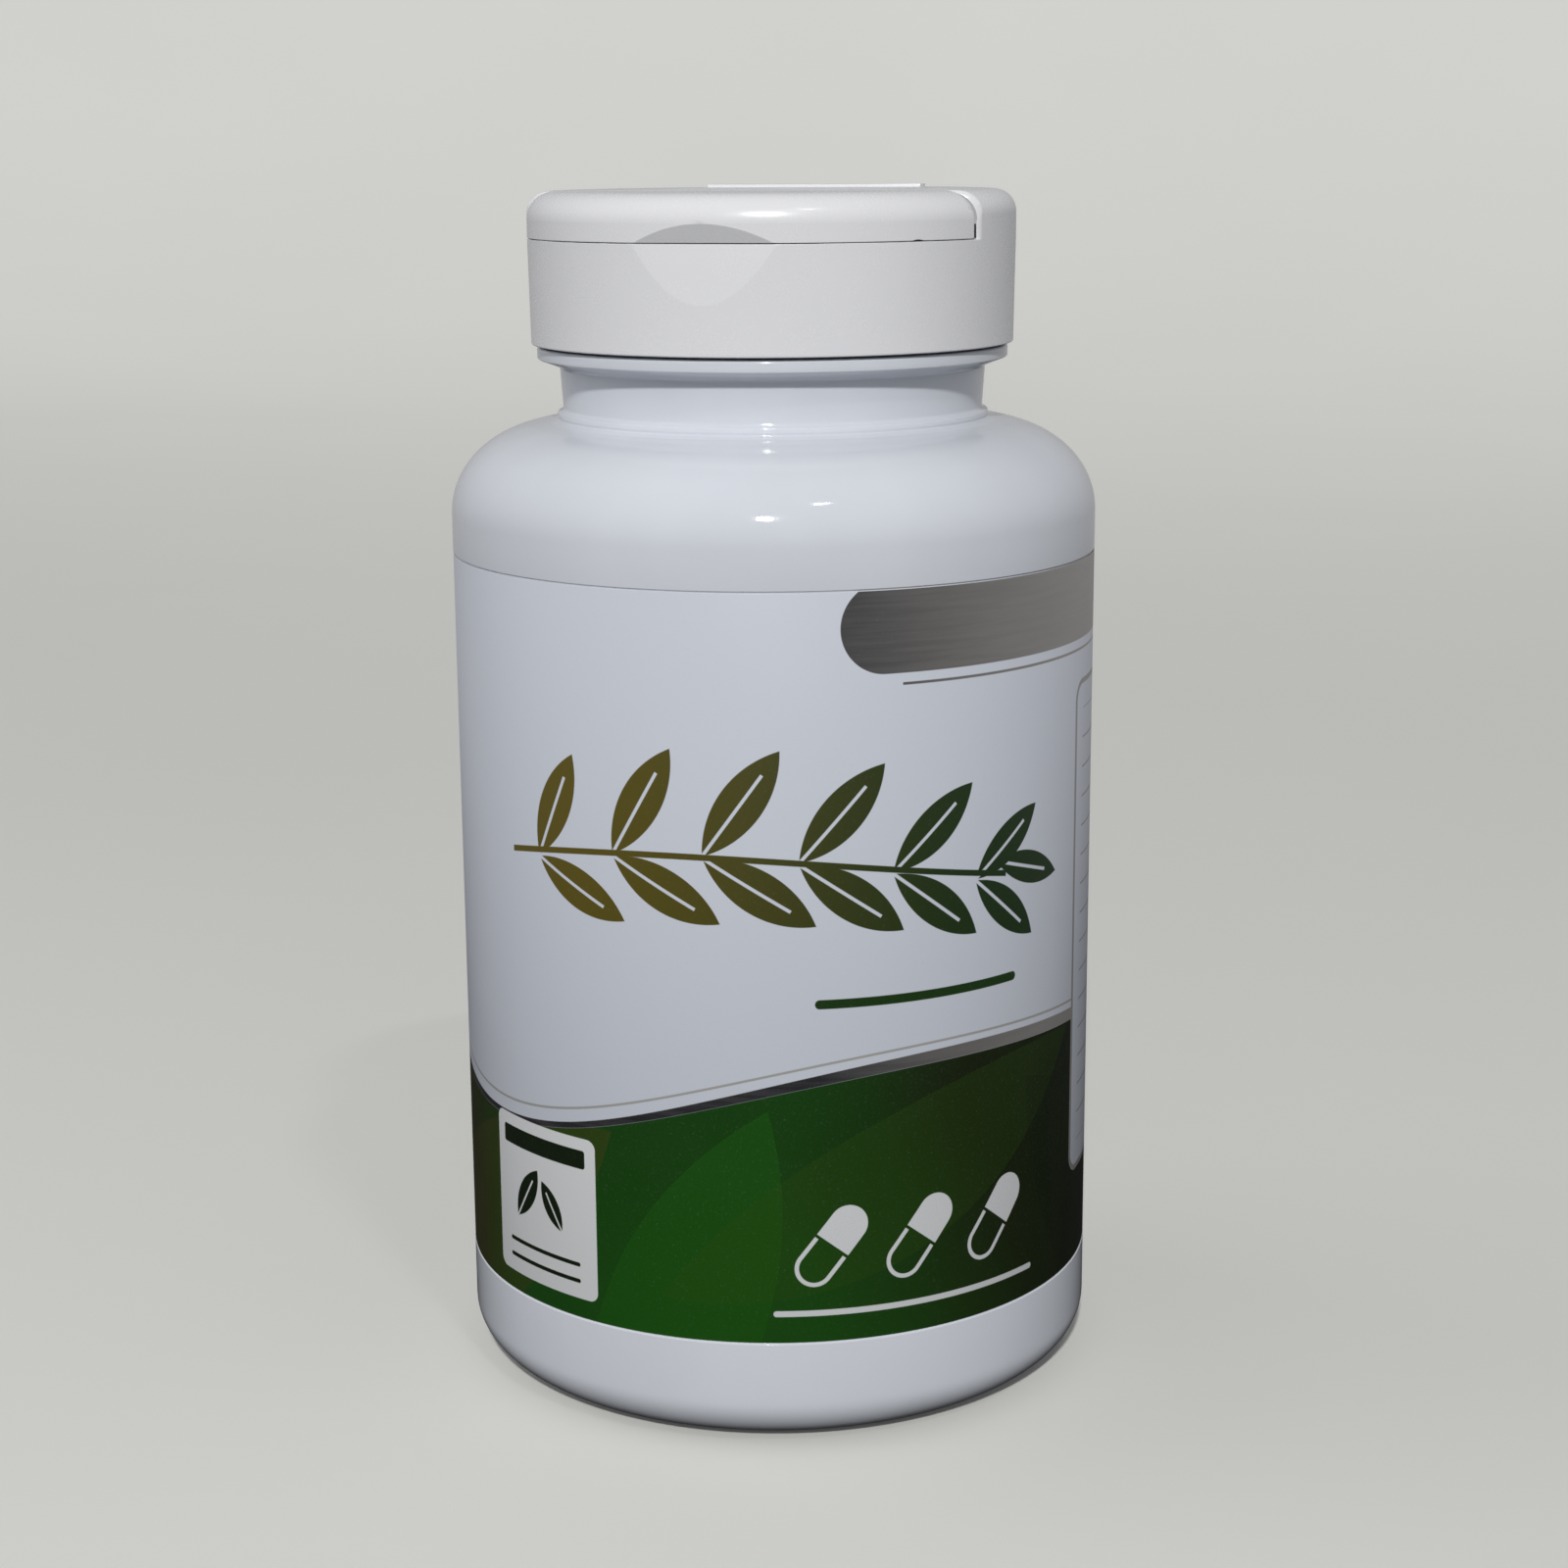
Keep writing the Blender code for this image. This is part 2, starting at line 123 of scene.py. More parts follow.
class ClosureSizes(bpy.types.PropertyGroup):
    """Sizes of the screw cap, its lid and the seal."""

    radius: length("Cap radius", "Outer radius of the cap", CAP_HIGH.x)
    foot_radius: length("Foot radius", "Outer radius at the skirt's lower edge", 0.0239)
    bore: length("Bore", "Inner radius of the skirt", 0.02275)
    top: length("Top", "Height of the flat top", LID_HIGH.z)
    top_rounding: length("Top rounding", "Radius of the round upper edge", 0.0027)
    deck: length("Deck", "Height of the ledge under the lid", 0.1140)
    deck_thickness: length("Deck thickness", "Thickness of the deck", 0.0011)
    hole_y: length("Hole centre", "Place of the dispensing hole along Y", -0.0142)
    hole_end: length("Hole end radius", "Radius of the hole's round ends", 0.0043)
    hole_half_straight: length("Hole straight half", "Half of the hole's straight part", 0.0050)
    thread_pitch: length("Thread pitch", "Rise of the thread in one turn", 0.004233)
    thread_height: length("Thread height", "How far the thread stands from its wall", 0.0012)
    thread_start: length("Thread start", "Height where the neck's thread begins", 0.1047)
    edge: length("Edge softness", "Width of the small bevel on moulded edges", 0.00006)


class BottleColours(bpy.types.PropertyGroup):
    """Colours of the plastics and of the label's inks."""

    bottle: colour("Bottle", "Cool white of the bottle", (0.685, 0.715, 0.775))
    cap: colour("Cap", "Neutral white of the cap and lid", (0.79, 0.795, 0.82))
    foam: colour("Foam", "Off-white of the sealing ring", (0.66, 0.66, 0.63))
    field: colour("Field", "White of the label's ground", (0.59, 0.62, 0.69))
    silver_dark: colour("Silver, dark", "Dark end of the grey inks", (0.020, 0.020, 0.024))
    silver_light: colour("Silver, light", "Light end of the grey inks", (0.345, 0.33, 0.312))
    olive: colour("Olive", "Brown-green ink at the left", (0.040, 0.033, 0.006))
    leaf_green: colour("Leaf green", "Bright green ink", (0.012, 0.074, 0.007))
    deep_green: colour("Deep green", "Dark green ink at the right", (0.015, 0.024, 0.006))


class StudioSettings(bpy.types.PropertyGroup):
    """Floor, lights and camera."""

    floor: colour("Floor", "Pale floor and backdrop", (0.80, 0.80, 0.765))
    wall_glow: FloatProperty(name="Wall glow", description="Light of the backdrop's own", default=0.38)
    room_light: FloatProperty(name="Room light", description="Soft light from the sides", default=0.42)
    around: IntProperty(name="Steps round", description="Segments of a full turn", default=192, min=48)


# Outlines


def soften(corners, steps=6):
    """An outline (radius, height) whose corners (radius, height, rounding) are arcs."""
    outline = []
    last = len(corners) - 1
    for index, (radius, height, rounding) in enumerate(corners):
        corner = Vector((radius, height))
        if rounding == 0 or index in (0, last):
            outline.append((radius, height))
            continue
        before = Vector(corners[index - 1][:2]) - corner
        after = Vector(corners[index + 1][:2]) - corner
        half = before.angle(after) / 2
        reach = min(rounding / math.tan(half), 0.49 * before.length, 0.49 * after.length)
        rounding = reach * math.tan(half)
        towards = (before.normalized() + after.normalized()).normalized()
        middle = corner + towards * rounding / math.sin(half)
        start = corner + before.normalized() * reach - middle
        end = corner + after.normalized() * reach - middle
        sweep = start.angle_signed(end)
        for step in range(steps + 1):
            point = middle + Matrix.Rotation(-sweep * step / steps, 2) @ start
            outline.append((point.x, point.y))
    return outline


def quarter(middle, reach, rise, start, end, steps):
    """Points along an ellipse's arc, with angles in degrees from the outward side."""
    points = []
    for step in range(steps + 1):
        angle = math.radians(start + (end - start) * step / steps)
        points.append((middle[0] + reach * math.cos(angle), middle[1] + rise * math.sin(angle)))
    return points


# Shapes


def lathe(outline, around, closed=False):
    """A turned shape in a new bmesh, with its faces pointing out."""
    shape = bmesh.new()
    points = [shape.verts.new((radius, 0.0, height)) for radius, height in outline]
    edges = [shape.edges.new(pair) for pair in zip(points, points[1:])]
    if closed:
        edges.append(shape.edges.new((points[-1], points[0])))
    bmesh.ops.spin(
        shape,
        geom=points + edges,
        cent=(0, 0, 0),
        axis=(0, 0, 1),
        angle=2 * math.pi,
        steps=around,
        use_merge=True,
        use_duplicate=False,
    )
    bmesh.ops.remove_doubles(shape, verts=shape.verts, dist=1e-7)
    bmesh.ops.recalc_face_normals(shape, faces=shape.faces)
    return shape


def block(low, high):
    """A box between two corners."""
    shape = bmesh.new()
    bmesh.ops.create_cube(shape, size=1.0)
    middle = (Vector(low) + Vector(high)) / 2
    size = Vector(high) - Vector(low)
    bmesh.ops.scale(shape, vec=size, verts=shape.verts)
    bmesh.ops.translate(shape, vec=middle, verts=shape.verts)
    return shape


def slanted_cutter(radius, height, lean):
    """A block that cuts a flat off a round wall's front, from a height on, leaning by an angle in degrees."""
    shape = block((-0.02, -0.03, -0.03), (0.02, 0.0, 0.03))
    turn = Matrix.Rotation(math.radians(lean), 3, "X")
    bmesh.ops.rotate(shape, cent=(0, 0, 0), matrix=turn, verts=shape.verts)
    bmesh.ops.translate(shape, vec=(0.0, -radius, height), verts=shape.verts)
    return shape


def close_ends(shape, sides):
    """Fills the open ends that a spin may leave."""
    rims = [edge for edge in shape.edges if edge.is_boundary]
    if rims:
        bmesh.ops.holes_fill(shape, edges=rims, sides=sides)
    return shape


def slot_prism(sizes, bottom_radius, top_radius, bottom, top, segments=64):
    """A prism with straight sides and round ends round the dispensing hole's middle."""
    shape = bmesh.new()
    bmesh.ops.create_cone(
        shape,
        cap_ends=True,
        segments=segments,
        radius1=bottom_radius,
        radius2=top_radius,
        depth=top - bottom,
        matrix=Matrix.Rotation(math.pi / segments, 4, "Z"),
    )
    for side in (-1, 1):
        half = [vertex for vertex in shape.verts if vertex.co.x * side > 0]
        move = (side * sizes.hole_half_straight, sizes.hole_y, (bottom + top) / 2)
        bmesh.ops.translate(shape, vec=move, verts=half)
    return shape


def screw_ridge(pitch, root, crest, sink, first_turn, turns, start_height, steps_per_turn=96):
    """A helical thread whose ends run out into the wall that carries it."""
    outwards = math.copysign(1.0, crest - root)
    section = (
        (root - outwards * sink, -0.00080),
        (root, -0.00068),
        (crest - outwards * 0.00015, -0.00038),
        (crest, -0.00022),
        (crest, 0.00022),
        (crest - outwards * 0.00015, 0.00038),
        (root, 0.00068),
        (root - outwards * sink, 0.00080),
    )
    shape = bmesh.new()
    points = [shape.verts.new((radius, 0.0, height)) for radius, height in section]
    shape.faces.new(points)
    bmesh.ops.spin(
        shape,
        geom=points + shape.edges[:] + shape.faces[:],
        cent=(0, 0, 0),
        axis=(0, 0, 1),
        dvec=(0, 0, pitch / steps_per_turn),
        angle=turns * 2 * math.pi,
        steps=round(turns * steps_per_turn),
        use_merge=False,
        use_duplicate=False,
    )
    close_ends(shape, len(section))
    run_out = 0.07
    for vertex in shape.verts:
        share = (math.atan2(vertex.co.y, vertex.co.x) / (2 * math.pi)) % 1.0
        turn = share + round(vertex.co.z / pitch - share)
        height = max(0.0, min(1.0, turn / run_out, (turns - turn) / run_out))
        radius = math.hypot(vertex.co.x, vertex.co.y)
        low = root - outwards * sink * 0.5
        if (radius - low) * outwards > 0:
            wanted = low + (radius - low) * height
            vertex.co.x *= wanted / radius
            vertex.co.y *= wanted / radius
    turn = Matrix.Rotation(first_turn * 2 * math.pi, 3, "Z")
    bmesh.ops.rotate(shape, cent=(0, 0, 0), matrix=turn, verts=shape.verts)
    bmesh.ops.translate(shape, vec=(0, 0, start_height + first_turn * pitch), verts=shape.verts)
    bmesh.ops.recalc_face_normals(shape, faces=shape.faces)
    return shape


def to_object(name, shape):
    """Puts a bmesh in a named object and frees it."""
    mesh = bpy.data.meshes.new(name)
    shape.to_mesh(mesh)
    shape.free()
    piece = bpy.data.objects.new(name, mesh)
    bpy.context.scene.collection.objects.link(piece)
    return piece


def carve(name, body, steps):
    """Cuts and joins shapes in turn, each given as (operation, bmesh), and returns the result as a bmesh."""
    piece = to_object(name, body)
    helpers = []
    for index, (operation, shape) in enumerate(steps):
        helper = to_object(f"{name}_step_{index}", shape)
        helpers.append(helper)
        modifier = piece.modifiers.new(helper.name, "BOOLEAN")
        modifier.operation = operation
        modifier.solver = "EXACT"
        modifier.object = helper
    bpy.context.view_layer.update()
    graph = bpy.context.evaluated_depsgraph_get()
    result = bmesh.new()
    result.from_mesh(piece.evaluated_get(graph).to_mesh())
    piece.evaluated_get(graph).to_mesh_clear()
    for spent in [piece, *helpers]:
        mesh = spent.data
        bpy.data.objects.remove(spent)
        bpy.data.meshes.remove(mesh)
    return result


def join_slivers(shape, width):
    """Merges points closer than a width and joins the level and upright flat faces that adjoin."""
    almost_flat = 0.99995
    bmesh.ops.remove_doubles(shape, verts=shape.verts, dist=width)
    flat = {face for face in shape.faces if max(abs(face.normal.y), abs(face.normal.z)) > almost_flat}
    inner = [edge for edge in shape.edges if edge.is_manifold and flat.issuperset(edge.link_faces)]
    bmesh.ops.dissolve_limit(
        shape,
        angle_limit=math.radians(0.3),
        use_dissolve_boundaries=False,
        verts=[vertex for vertex in shape.verts if flat.issuperset(vertex.link_faces)],
        edges=inner,
    )


def soften_edges(shape, width, least_angle=35.0):
    """Bevels the edges that are sharper than an angle."""
    limit = math.radians(least_angle)
    sharp = [edge for edge in shape.edges if edge.is_manifold and edge.calc_face_angle() > limit]
    bmesh.ops.bevel(
        shape,
        geom=sharp,
        offset=width,
        offset_type="OFFSET",
        segments=2,
        profile=0.5,
        affect="EDGES",
        material=-1,
        clamp_overlap=False,
        loop_slide=True,
    )
    bmesh.ops.recalc_face_normals(shape, faces=shape.faces)


def round_lower_rear(shape, rounding):
    """Rounds the edge of a block that is lowest and farthest back."""
    low = min(vertex.co.z for vertex in shape.verts)
    rear = max(vertex.co.y for vertex in shape.verts)
    near = 1e-6
    chosen = [e for e in shape.edges if all(v.co.z < low + near and v.co.y > rear - near for v in e.verts)]
    bmesh.ops.bevel(
        shape, geom=chosen, offset=rounding, segments=6, profile=0.5, affect="EDGES", material=-1
    )
    return shape


def true_normals(mesh, lean, share):
    """Points the outer wall's normals away from the axis, and shades a share of the recess's slant."""
    normals = [Vector(corner.vector) for corner in mesh.corner_normals]
    flat = Matrix.Rotation(math.radians(lean), 3, "X") @ Vector((0.0, -1.0, 0.0))
    for face in mesh.polygons:
        out = Vector((face.center.x, face.center.y, 0.0)).normalized()
        on_wall = face.normal.dot(out) > 0.9995
        on_flat = face.normal.dot(flat) > 0.99999
        for corner in face.loop_indices:
            place = mesh.vertices[mesh.loops[corner].vertex_index].co
            round_normal = Vector((place.x, place.y, 0.0)).normalized()
            if on_wall:
                normals[corner] = (round_normal + Vector((0.0, 0.0, face.normal.z))).normalized()
            elif on_flat:
                normals[corner] = round_normal.lerp(flat, share).normalized()
    mesh.normals_split_custom_set(normals)


def finish_piece(name, shape, body, node, material, lean=None, share=1.0):
    """Turns a bmesh into a piece that rides on a body, replaces its solid and has its finish."""
    piece = to_object(name, shape)
    piece.data.shade_smooth()
    piece.data.set_sharp_from_angle(angle=math.radians(32.0))
    if lean is not None:
        true_normals(piece.data, lean, share)
    piece.data.materials.append(material)
    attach(piece, body)
    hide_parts(node)


# Finishes


class Finish:
    """A material laid on node by node. Places are in millimetres of the piece's own frame."""

    def __init__(self, name):
        self.material = bpy.data.materials.new(name)
        self.material.use_nodes = True
        self.tree = self.material.node_tree
        self.shader = self.tree.nodes["Principled BSDF"]
        place = self.tree.nodes.new("ShaderNodeTexCoord").outputs["Object"]
        self.place = self.vector("MULTIPLY", place, (1000.0, 1000.0, 1000.0))

    def feed(self, socket, value):
        if isinstance(value, bpy.types.NodeSocket):
            self.tree.links.new(value, socket)
        elif value is not None:
            socket.default_value = value

    def math(self, operation, *values, clamp=False):
        node = self.tree.nodes.new("ShaderNodeMath")
        node.operation = operation
        node.use_clamp = clamp
        for socket, value in zip(node.inputs, values):
            self.feed(socket, value)
        return node.outputs[0]

    def vector(self, operation, *values):
        node = self.tree.nodes.new("ShaderNodeVectorMath")
        node.operation = operation
        for socket, value in zip(node.inputs, values):
            self.feed(socket, value)
        return node.outputs["Value" if operation == "LENGTH" else "Vector"]

    def parts(self, value):
        node = self.tree.nodes.new("ShaderNodeSeparateXYZ")
        self.feed(node.inputs[0], value)
        return node.outputs

    def noise(self, place, scale, detail=2.0, roughness=0.5, stretch=None):
        if stretch:
            place = self.vector("MULTIPLY", place, stretch)
        node = self.tree.nodes.new("ShaderNodeTexNoise")
        self.feed(node.inputs["Vector"], place)
        node.inputs["Scale"].default_value = scale
        node.inputs["Detail"].default_value = detail
        node.inputs["Roughness"].default_value = roughness
        return node.outputs["Fac"]

    def ramp(self, value, low, high, to_low=0.0, to_high=1.0, smooth=True):
        """Maps a range of a value to another range, clamped, with soft ends."""
        node = self.tree.nodes.new("ShaderNodeMapRange")
        node.interpolation_type = "SMOOTHSTEP" if smooth else "LINEAR"
        for socket, item in zip(node.inputs, (value, low, high, to_low, to_high)):
            self.feed(socket, item)
        return node.outputs["Result"]

    def mix(self, share, first, second, blend="MIX"):
        node = self.tree.nodes.new("ShaderNodeMix")
        node.data_type = "RGBA"
        node.blend_type = blend
        for key, value in ((0, share), (6, first), (7, second)):
            if isinstance(value, tuple) and len(value) == 3:
                value = (*value, 1.0)
            self.feed(node.inputs[key], value)
        return node.outputs[2]

    def bump(self, height, distance, strength=1.0, onto=None):
        """A bump whose height is in millimetres."""
        node = self.tree.nodes.new("ShaderNodeBump")
        node.inputs["Strength"].default_value = strength
        node.inputs["Distance"].default_value = distance * MM
        self.feed(node.inputs["Height"], height)
        if onto is not None:
            self.feed(node.inputs["Normal"], onto)
        return node.outputs["Normal"]

    def set(self, **values):
        """Values of the shader's own sockets, named with underscores for spaces."""
        for key, value in values.items():
            socket = self.shader.inputs[key.replace("_", " ")]
            if isinstance(value, tuple) and len(value) == 3 and socket.type == "RGBA":
                value = (*value, 1.0)
            self.feed(socket, value)
        return self.material


def bottle_finish(colours):
    """Glossy blown plastic: slightly wavy, with faint smudges and a little light under the skin."""
    finish = Finish("blown white plastic")
    white = tuple(colours.bottle)
    cloud = finish.noise(finish.place, 0.045, detail=3.0)
    tint = finish.mix(finish.ramp(cloud, 0.35, 0.65), tuple(0.955 * part for part in white), white)
    smudge = finish.noise(finish.place, 0.16, detail=5.0, roughness=0.62)
    fine = finish.noise(finish.place, 2.6, detail=2.0)
    gloss = finish.ramp(smudge, 0.42, 0.72, 0.045, 0.085)
    waves = finish.noise(finish.place, 0.10, detail=1.0, stretch=(1.0, 1.0, 0.45))
    wavy = finish.bump(waves, 0.07)
    skin = finish.bump(fine, 0.0035, onto=wavy)
    return finish.set(
        Base_Color=tint,
        Roughness=gloss,
        IOR=1.52,
        Subsurface_Weight=0.08,
        Subsurface_Radius=(1.0, 0.95, 0.9),
        Subsurface_Scale=0.0010,
        Normal=skin,
    )


def cap_finish(name, colours, seed):
    """Satin moulded plastic: fine spark-eroded grain, faint flow clouds and a few rubbed spots."""
    finish = Finish(name)
    white = tuple(colours.cap)
    place = finish.vector("ADD", finish.place, (seed, 2.0 * seed, -seed))
    cloud = finish.noise(place, 0.07, detail=3.0, stretch=(1.0, 1.0, 0.5))
    tint = finish.mix(finish.ramp(cloud, 0.35, 0.65), tuple(0.985 * part for part in white), white)
    grain = finish.noise(place, 5.5, detail=2.0, roughness=0.6)
    rubbed = finish.noise(place, 0.22, detail=6.0, roughness=0.65)
    worn = finish.ramp(rubbed, 0.40, 0.72, 0.27, 0.22)
    gloss = finish.math("ADD", worn, finish.ramp(grain, 0.3, 0.7, -0.02, 0.03))
    sink_marks = finish.bump(finish.noise(place, 0.10, detail=1.0), 0.015)
    skin = finish.bump(grain, 0.002, onto=sink_marks)
    return finish.set(
        Base_Color=tint,
        Roughness=gloss,
        IOR=1.49,
        Subsurface_Weight=0.06,
        Subsurface_Radius=(1.0, 0.97, 0.92),
        Subsurface_Scale=0.0008,
        Coat_Weight=0.2,
        Coat_Roughness=0.1,
        Normal=skin,
    )


def foam_finish(colours):
    """Matt closed-cell foam with small pits, their middles painted darker as painted shade."""
    finish = Finish("seal foam")
    base = tuple(colours.foam)
    cells = finish.tree.nodes.new("ShaderNodeTexVoronoi")
    cells.inputs["Scale"].default_value = 3.2
    finish.feed(cells.inputs["Vector"], finish.place)
    pits = cells.outputs["Distance"]
    # Painted shade: the colour darkens towards each pit's middle, where the bump sinks deepest
    tint = finish.mix(finish.ramp(pits, 0.0, 0.5), tuple(0.78 * part for part in base), base)
    gloss = finish.ramp(pits, 0.0, 0.5, 0.85, 0.62)
    return finish.set(Base_Color=tint, Roughness=gloss, Normal=finish.bump(pits, 0.05))


# Printed artwork, in millimetres: across from the label's front, and up from the base


class Print:
    """The label seen flat, with masks for the shapes that are printed on it."""

    SOFT = 0.05

    def __init__(self, finish, radius):
        self.finish = finish
        turn = finish.tree.nodes.new("ShaderNodeVectorRotate")
        turn.rotation_type = "Z_AXIS"
        turn.inputs["Angle"].default_value = -FRONT_TURN
        finish.feed(turn.inputs["Vector"], finish.place)
        x, y, z = finish.parts(turn.outputs[0])
        angle = finish.math("ARCTAN2", x, finish.math("MULTIPLY", y, -1.0))
        self.across = finish.math("MULTIPLY", angle, radius / MM)
        self.up = z
        sheet = finish.tree.nodes.new("ShaderNodeCombineXYZ")
        finish.feed(sheet.inputs[0], self.across)
        finish.feed(sheet.inputs[1], self.up)
        self.sheet = sheet.outputs[0]

    def local(self, middle, angle=0.0):
        """The sheet's places seen from a shape's own middle and angle, in degrees."""
        node = self.finish.tree.nodes.new("ShaderNodeMapping")
        node.vector_type = "TEXTURE"
        node.inputs["Location"].default_value = (*middle, 0.0)
        node.inputs["Rotation"].default_value = (0.0, 0.0, math.radians(angle))
        self.finish.feed(node.inputs["Vector"], self.sheet)
        return node.outputs[0]

    def under(self, value, limit):
        """1 where the value is under the limit, with a fine soft edge."""
        gap = self.finish.math("SUBTRACT", value, limit)
        return self.finish.ramp(gap, -self.SOFT, self.SOFT, 1.0, 0.0)

    def rounded(self, middle, half, rounding, angle=0.0):
        """Distance outside a box with round corners, negative within its rounding."""
        finish = self.finish
        folded = finish.vector("ABSOLUTE", self.local(middle, angle))
        core = (half[0] - rounding, half[1] - rounding, 0.0)
        beyond = finish.vector("MAXIMUM", finish.vector("SUBTRACT", folded, core), (0.0, 0.0, 0.0))
        return finish.math("SUBTRACT", finish.vector("LENGTH", beyond), rounding)

    def box(self, middle, half, rounding):
        """A filled box with round corners."""
        return self.under(self.rounded(middle, half, rounding), 0.0)

    def leaf(self, middle, angle, half_length, half_width, vein=0.0):
        """A pointed leaf, the shape that two crossing circles share, with a bare line for its vein."""
        finish = self.finish
        circle = (half_length**2 + half_width**2) / (2 * half_width)
        place = self.local(middle, angle)
        folded = finish.vector("ABSOLUTE", place)
        moved = finish.vector("ADD", folded, (0.0, circle - half_width, 0.0))
        inside = self.under(finish.vector("LENGTH", moved), circle)
        if vein:
            bare = self.under(finish.parts(folded)[1], vein)
            tip = self.under(finish.parts(place)[0], half_length * 0.55)
            bare = finish.math("MULTIPLY", bare, tip)
            inside = finish.math("MULTIPLY", inside, finish.math("SUBTRACT", 1.0, bare))
        return inside

    def any_of(self, masks):
        joined = masks[0]
        for mask in masks[1:]:
            joined = self.finish.math("MAXIMUM", joined, mask)
        return joined

    def both(self, first, second):
        return self.finish.math("MULTIPLY", first, second)

    def without(self, first, second):
        return self.both(first, self.finish.math("SUBTRACT", 1.0, second))


def sprig(art):
    """A stem with paired leaves, across the middle of the label."""
    masks = []
    pairs = 6
    left, right = -25.0, 20.0
    for index in range(pairs):
        share = index / (pairs - 1)
        x = left + (right - left) * share
        y = 55.5 + 3.2 * math.sin(math.pi * (0.15 + 0.9 * share))
        size = 4.3 + 1.9 * math.sin(math.pi * (0.25 + 0.6 * share))
        for side in (-1, 1):
            tilt = 20.0 - 22.0 * share + side * (46.0 - 8.0 * share)
            reach = math.radians(tilt)
            middle = (x + 1.02 * size * math.cos(reach), y + 1.02 * size * math.sin(reach))
            masks.append(art.leaf(middle, tilt, size, size * 0.34, vein=0.16))
    tip = (right + 7.5, 55.0)
    masks.append(art.leaf(tip, -16.0, 5.0, 1.6, vein=0.16))
    share = art.finish.ramp(art.across, left - 4.0, right + 4.0, 0.0, 1.0, smooth=False)
    wave = art.finish.math("SINE", art.finish.math("MULTIPLY_ADD", share, 0.9 * math.pi, 0.15 * math.pi))
    stem_line = art.finish.math("MULTIPLY_ADD", wave, 3.2, 55.5)
    off = art.finish.math("ABSOLUTE", art.finish.math("SUBTRACT", art.up, stem_line))
    stem = art.under(off, 0.30)
    inside = art.both(art.under(left - 4.0, art.across), art.under(art.across, right + 4.0))
    masks.append(art.both(stem, inside))
    return art.any_of(masks)


def capsule_row(art):
    """Three slanted capsules, one half filled and one half in outline."""
    masks = []
    angle = 52.0
    for index in range(3):
        middle = (5.0 + 9.0 * index, 20.6)
        outer = art.rounded(middle, (4.6, 1.9), 1.9, angle)
        body = art.under(outer, 0.0)
        inner = art.under(outer, -0.42)
        along = art.finish.parts(art.local(middle, angle))[0]
        lower = art.under(along, -0.1)
        gap = art.under(art.finish.math("ABSOLUTE", along), 0.16)
        hollow = art.both(inner, lower)
        masks.append(art.without(art.without(body, hollow), gap))
    return art.any_of(masks)


def ruled_panel(art, middle, half, rules):
    """(whole panel, its border and ruled lines): a white panel with round corners, for the sides."""
    outer = art.rounded(middle, half, 2.2)
    whole = art.under(outer, 0.0)
    border = art.without(whole, art.under(outer, -0.55))
    finish = art.finish
    step = 2 * half[1] / rules
    row = finish.math("PINGPONG", finish.math("SUBTRACT", art.up, middle[1] - half[1]), step / 2)
    lines = art.under(row, 0.09)
    inset = art.box(middle, (half[0] - 2.6, half[1] - 3.0), 0.2)
    return whole, art.any_of([border, art.both(lines, inset)])


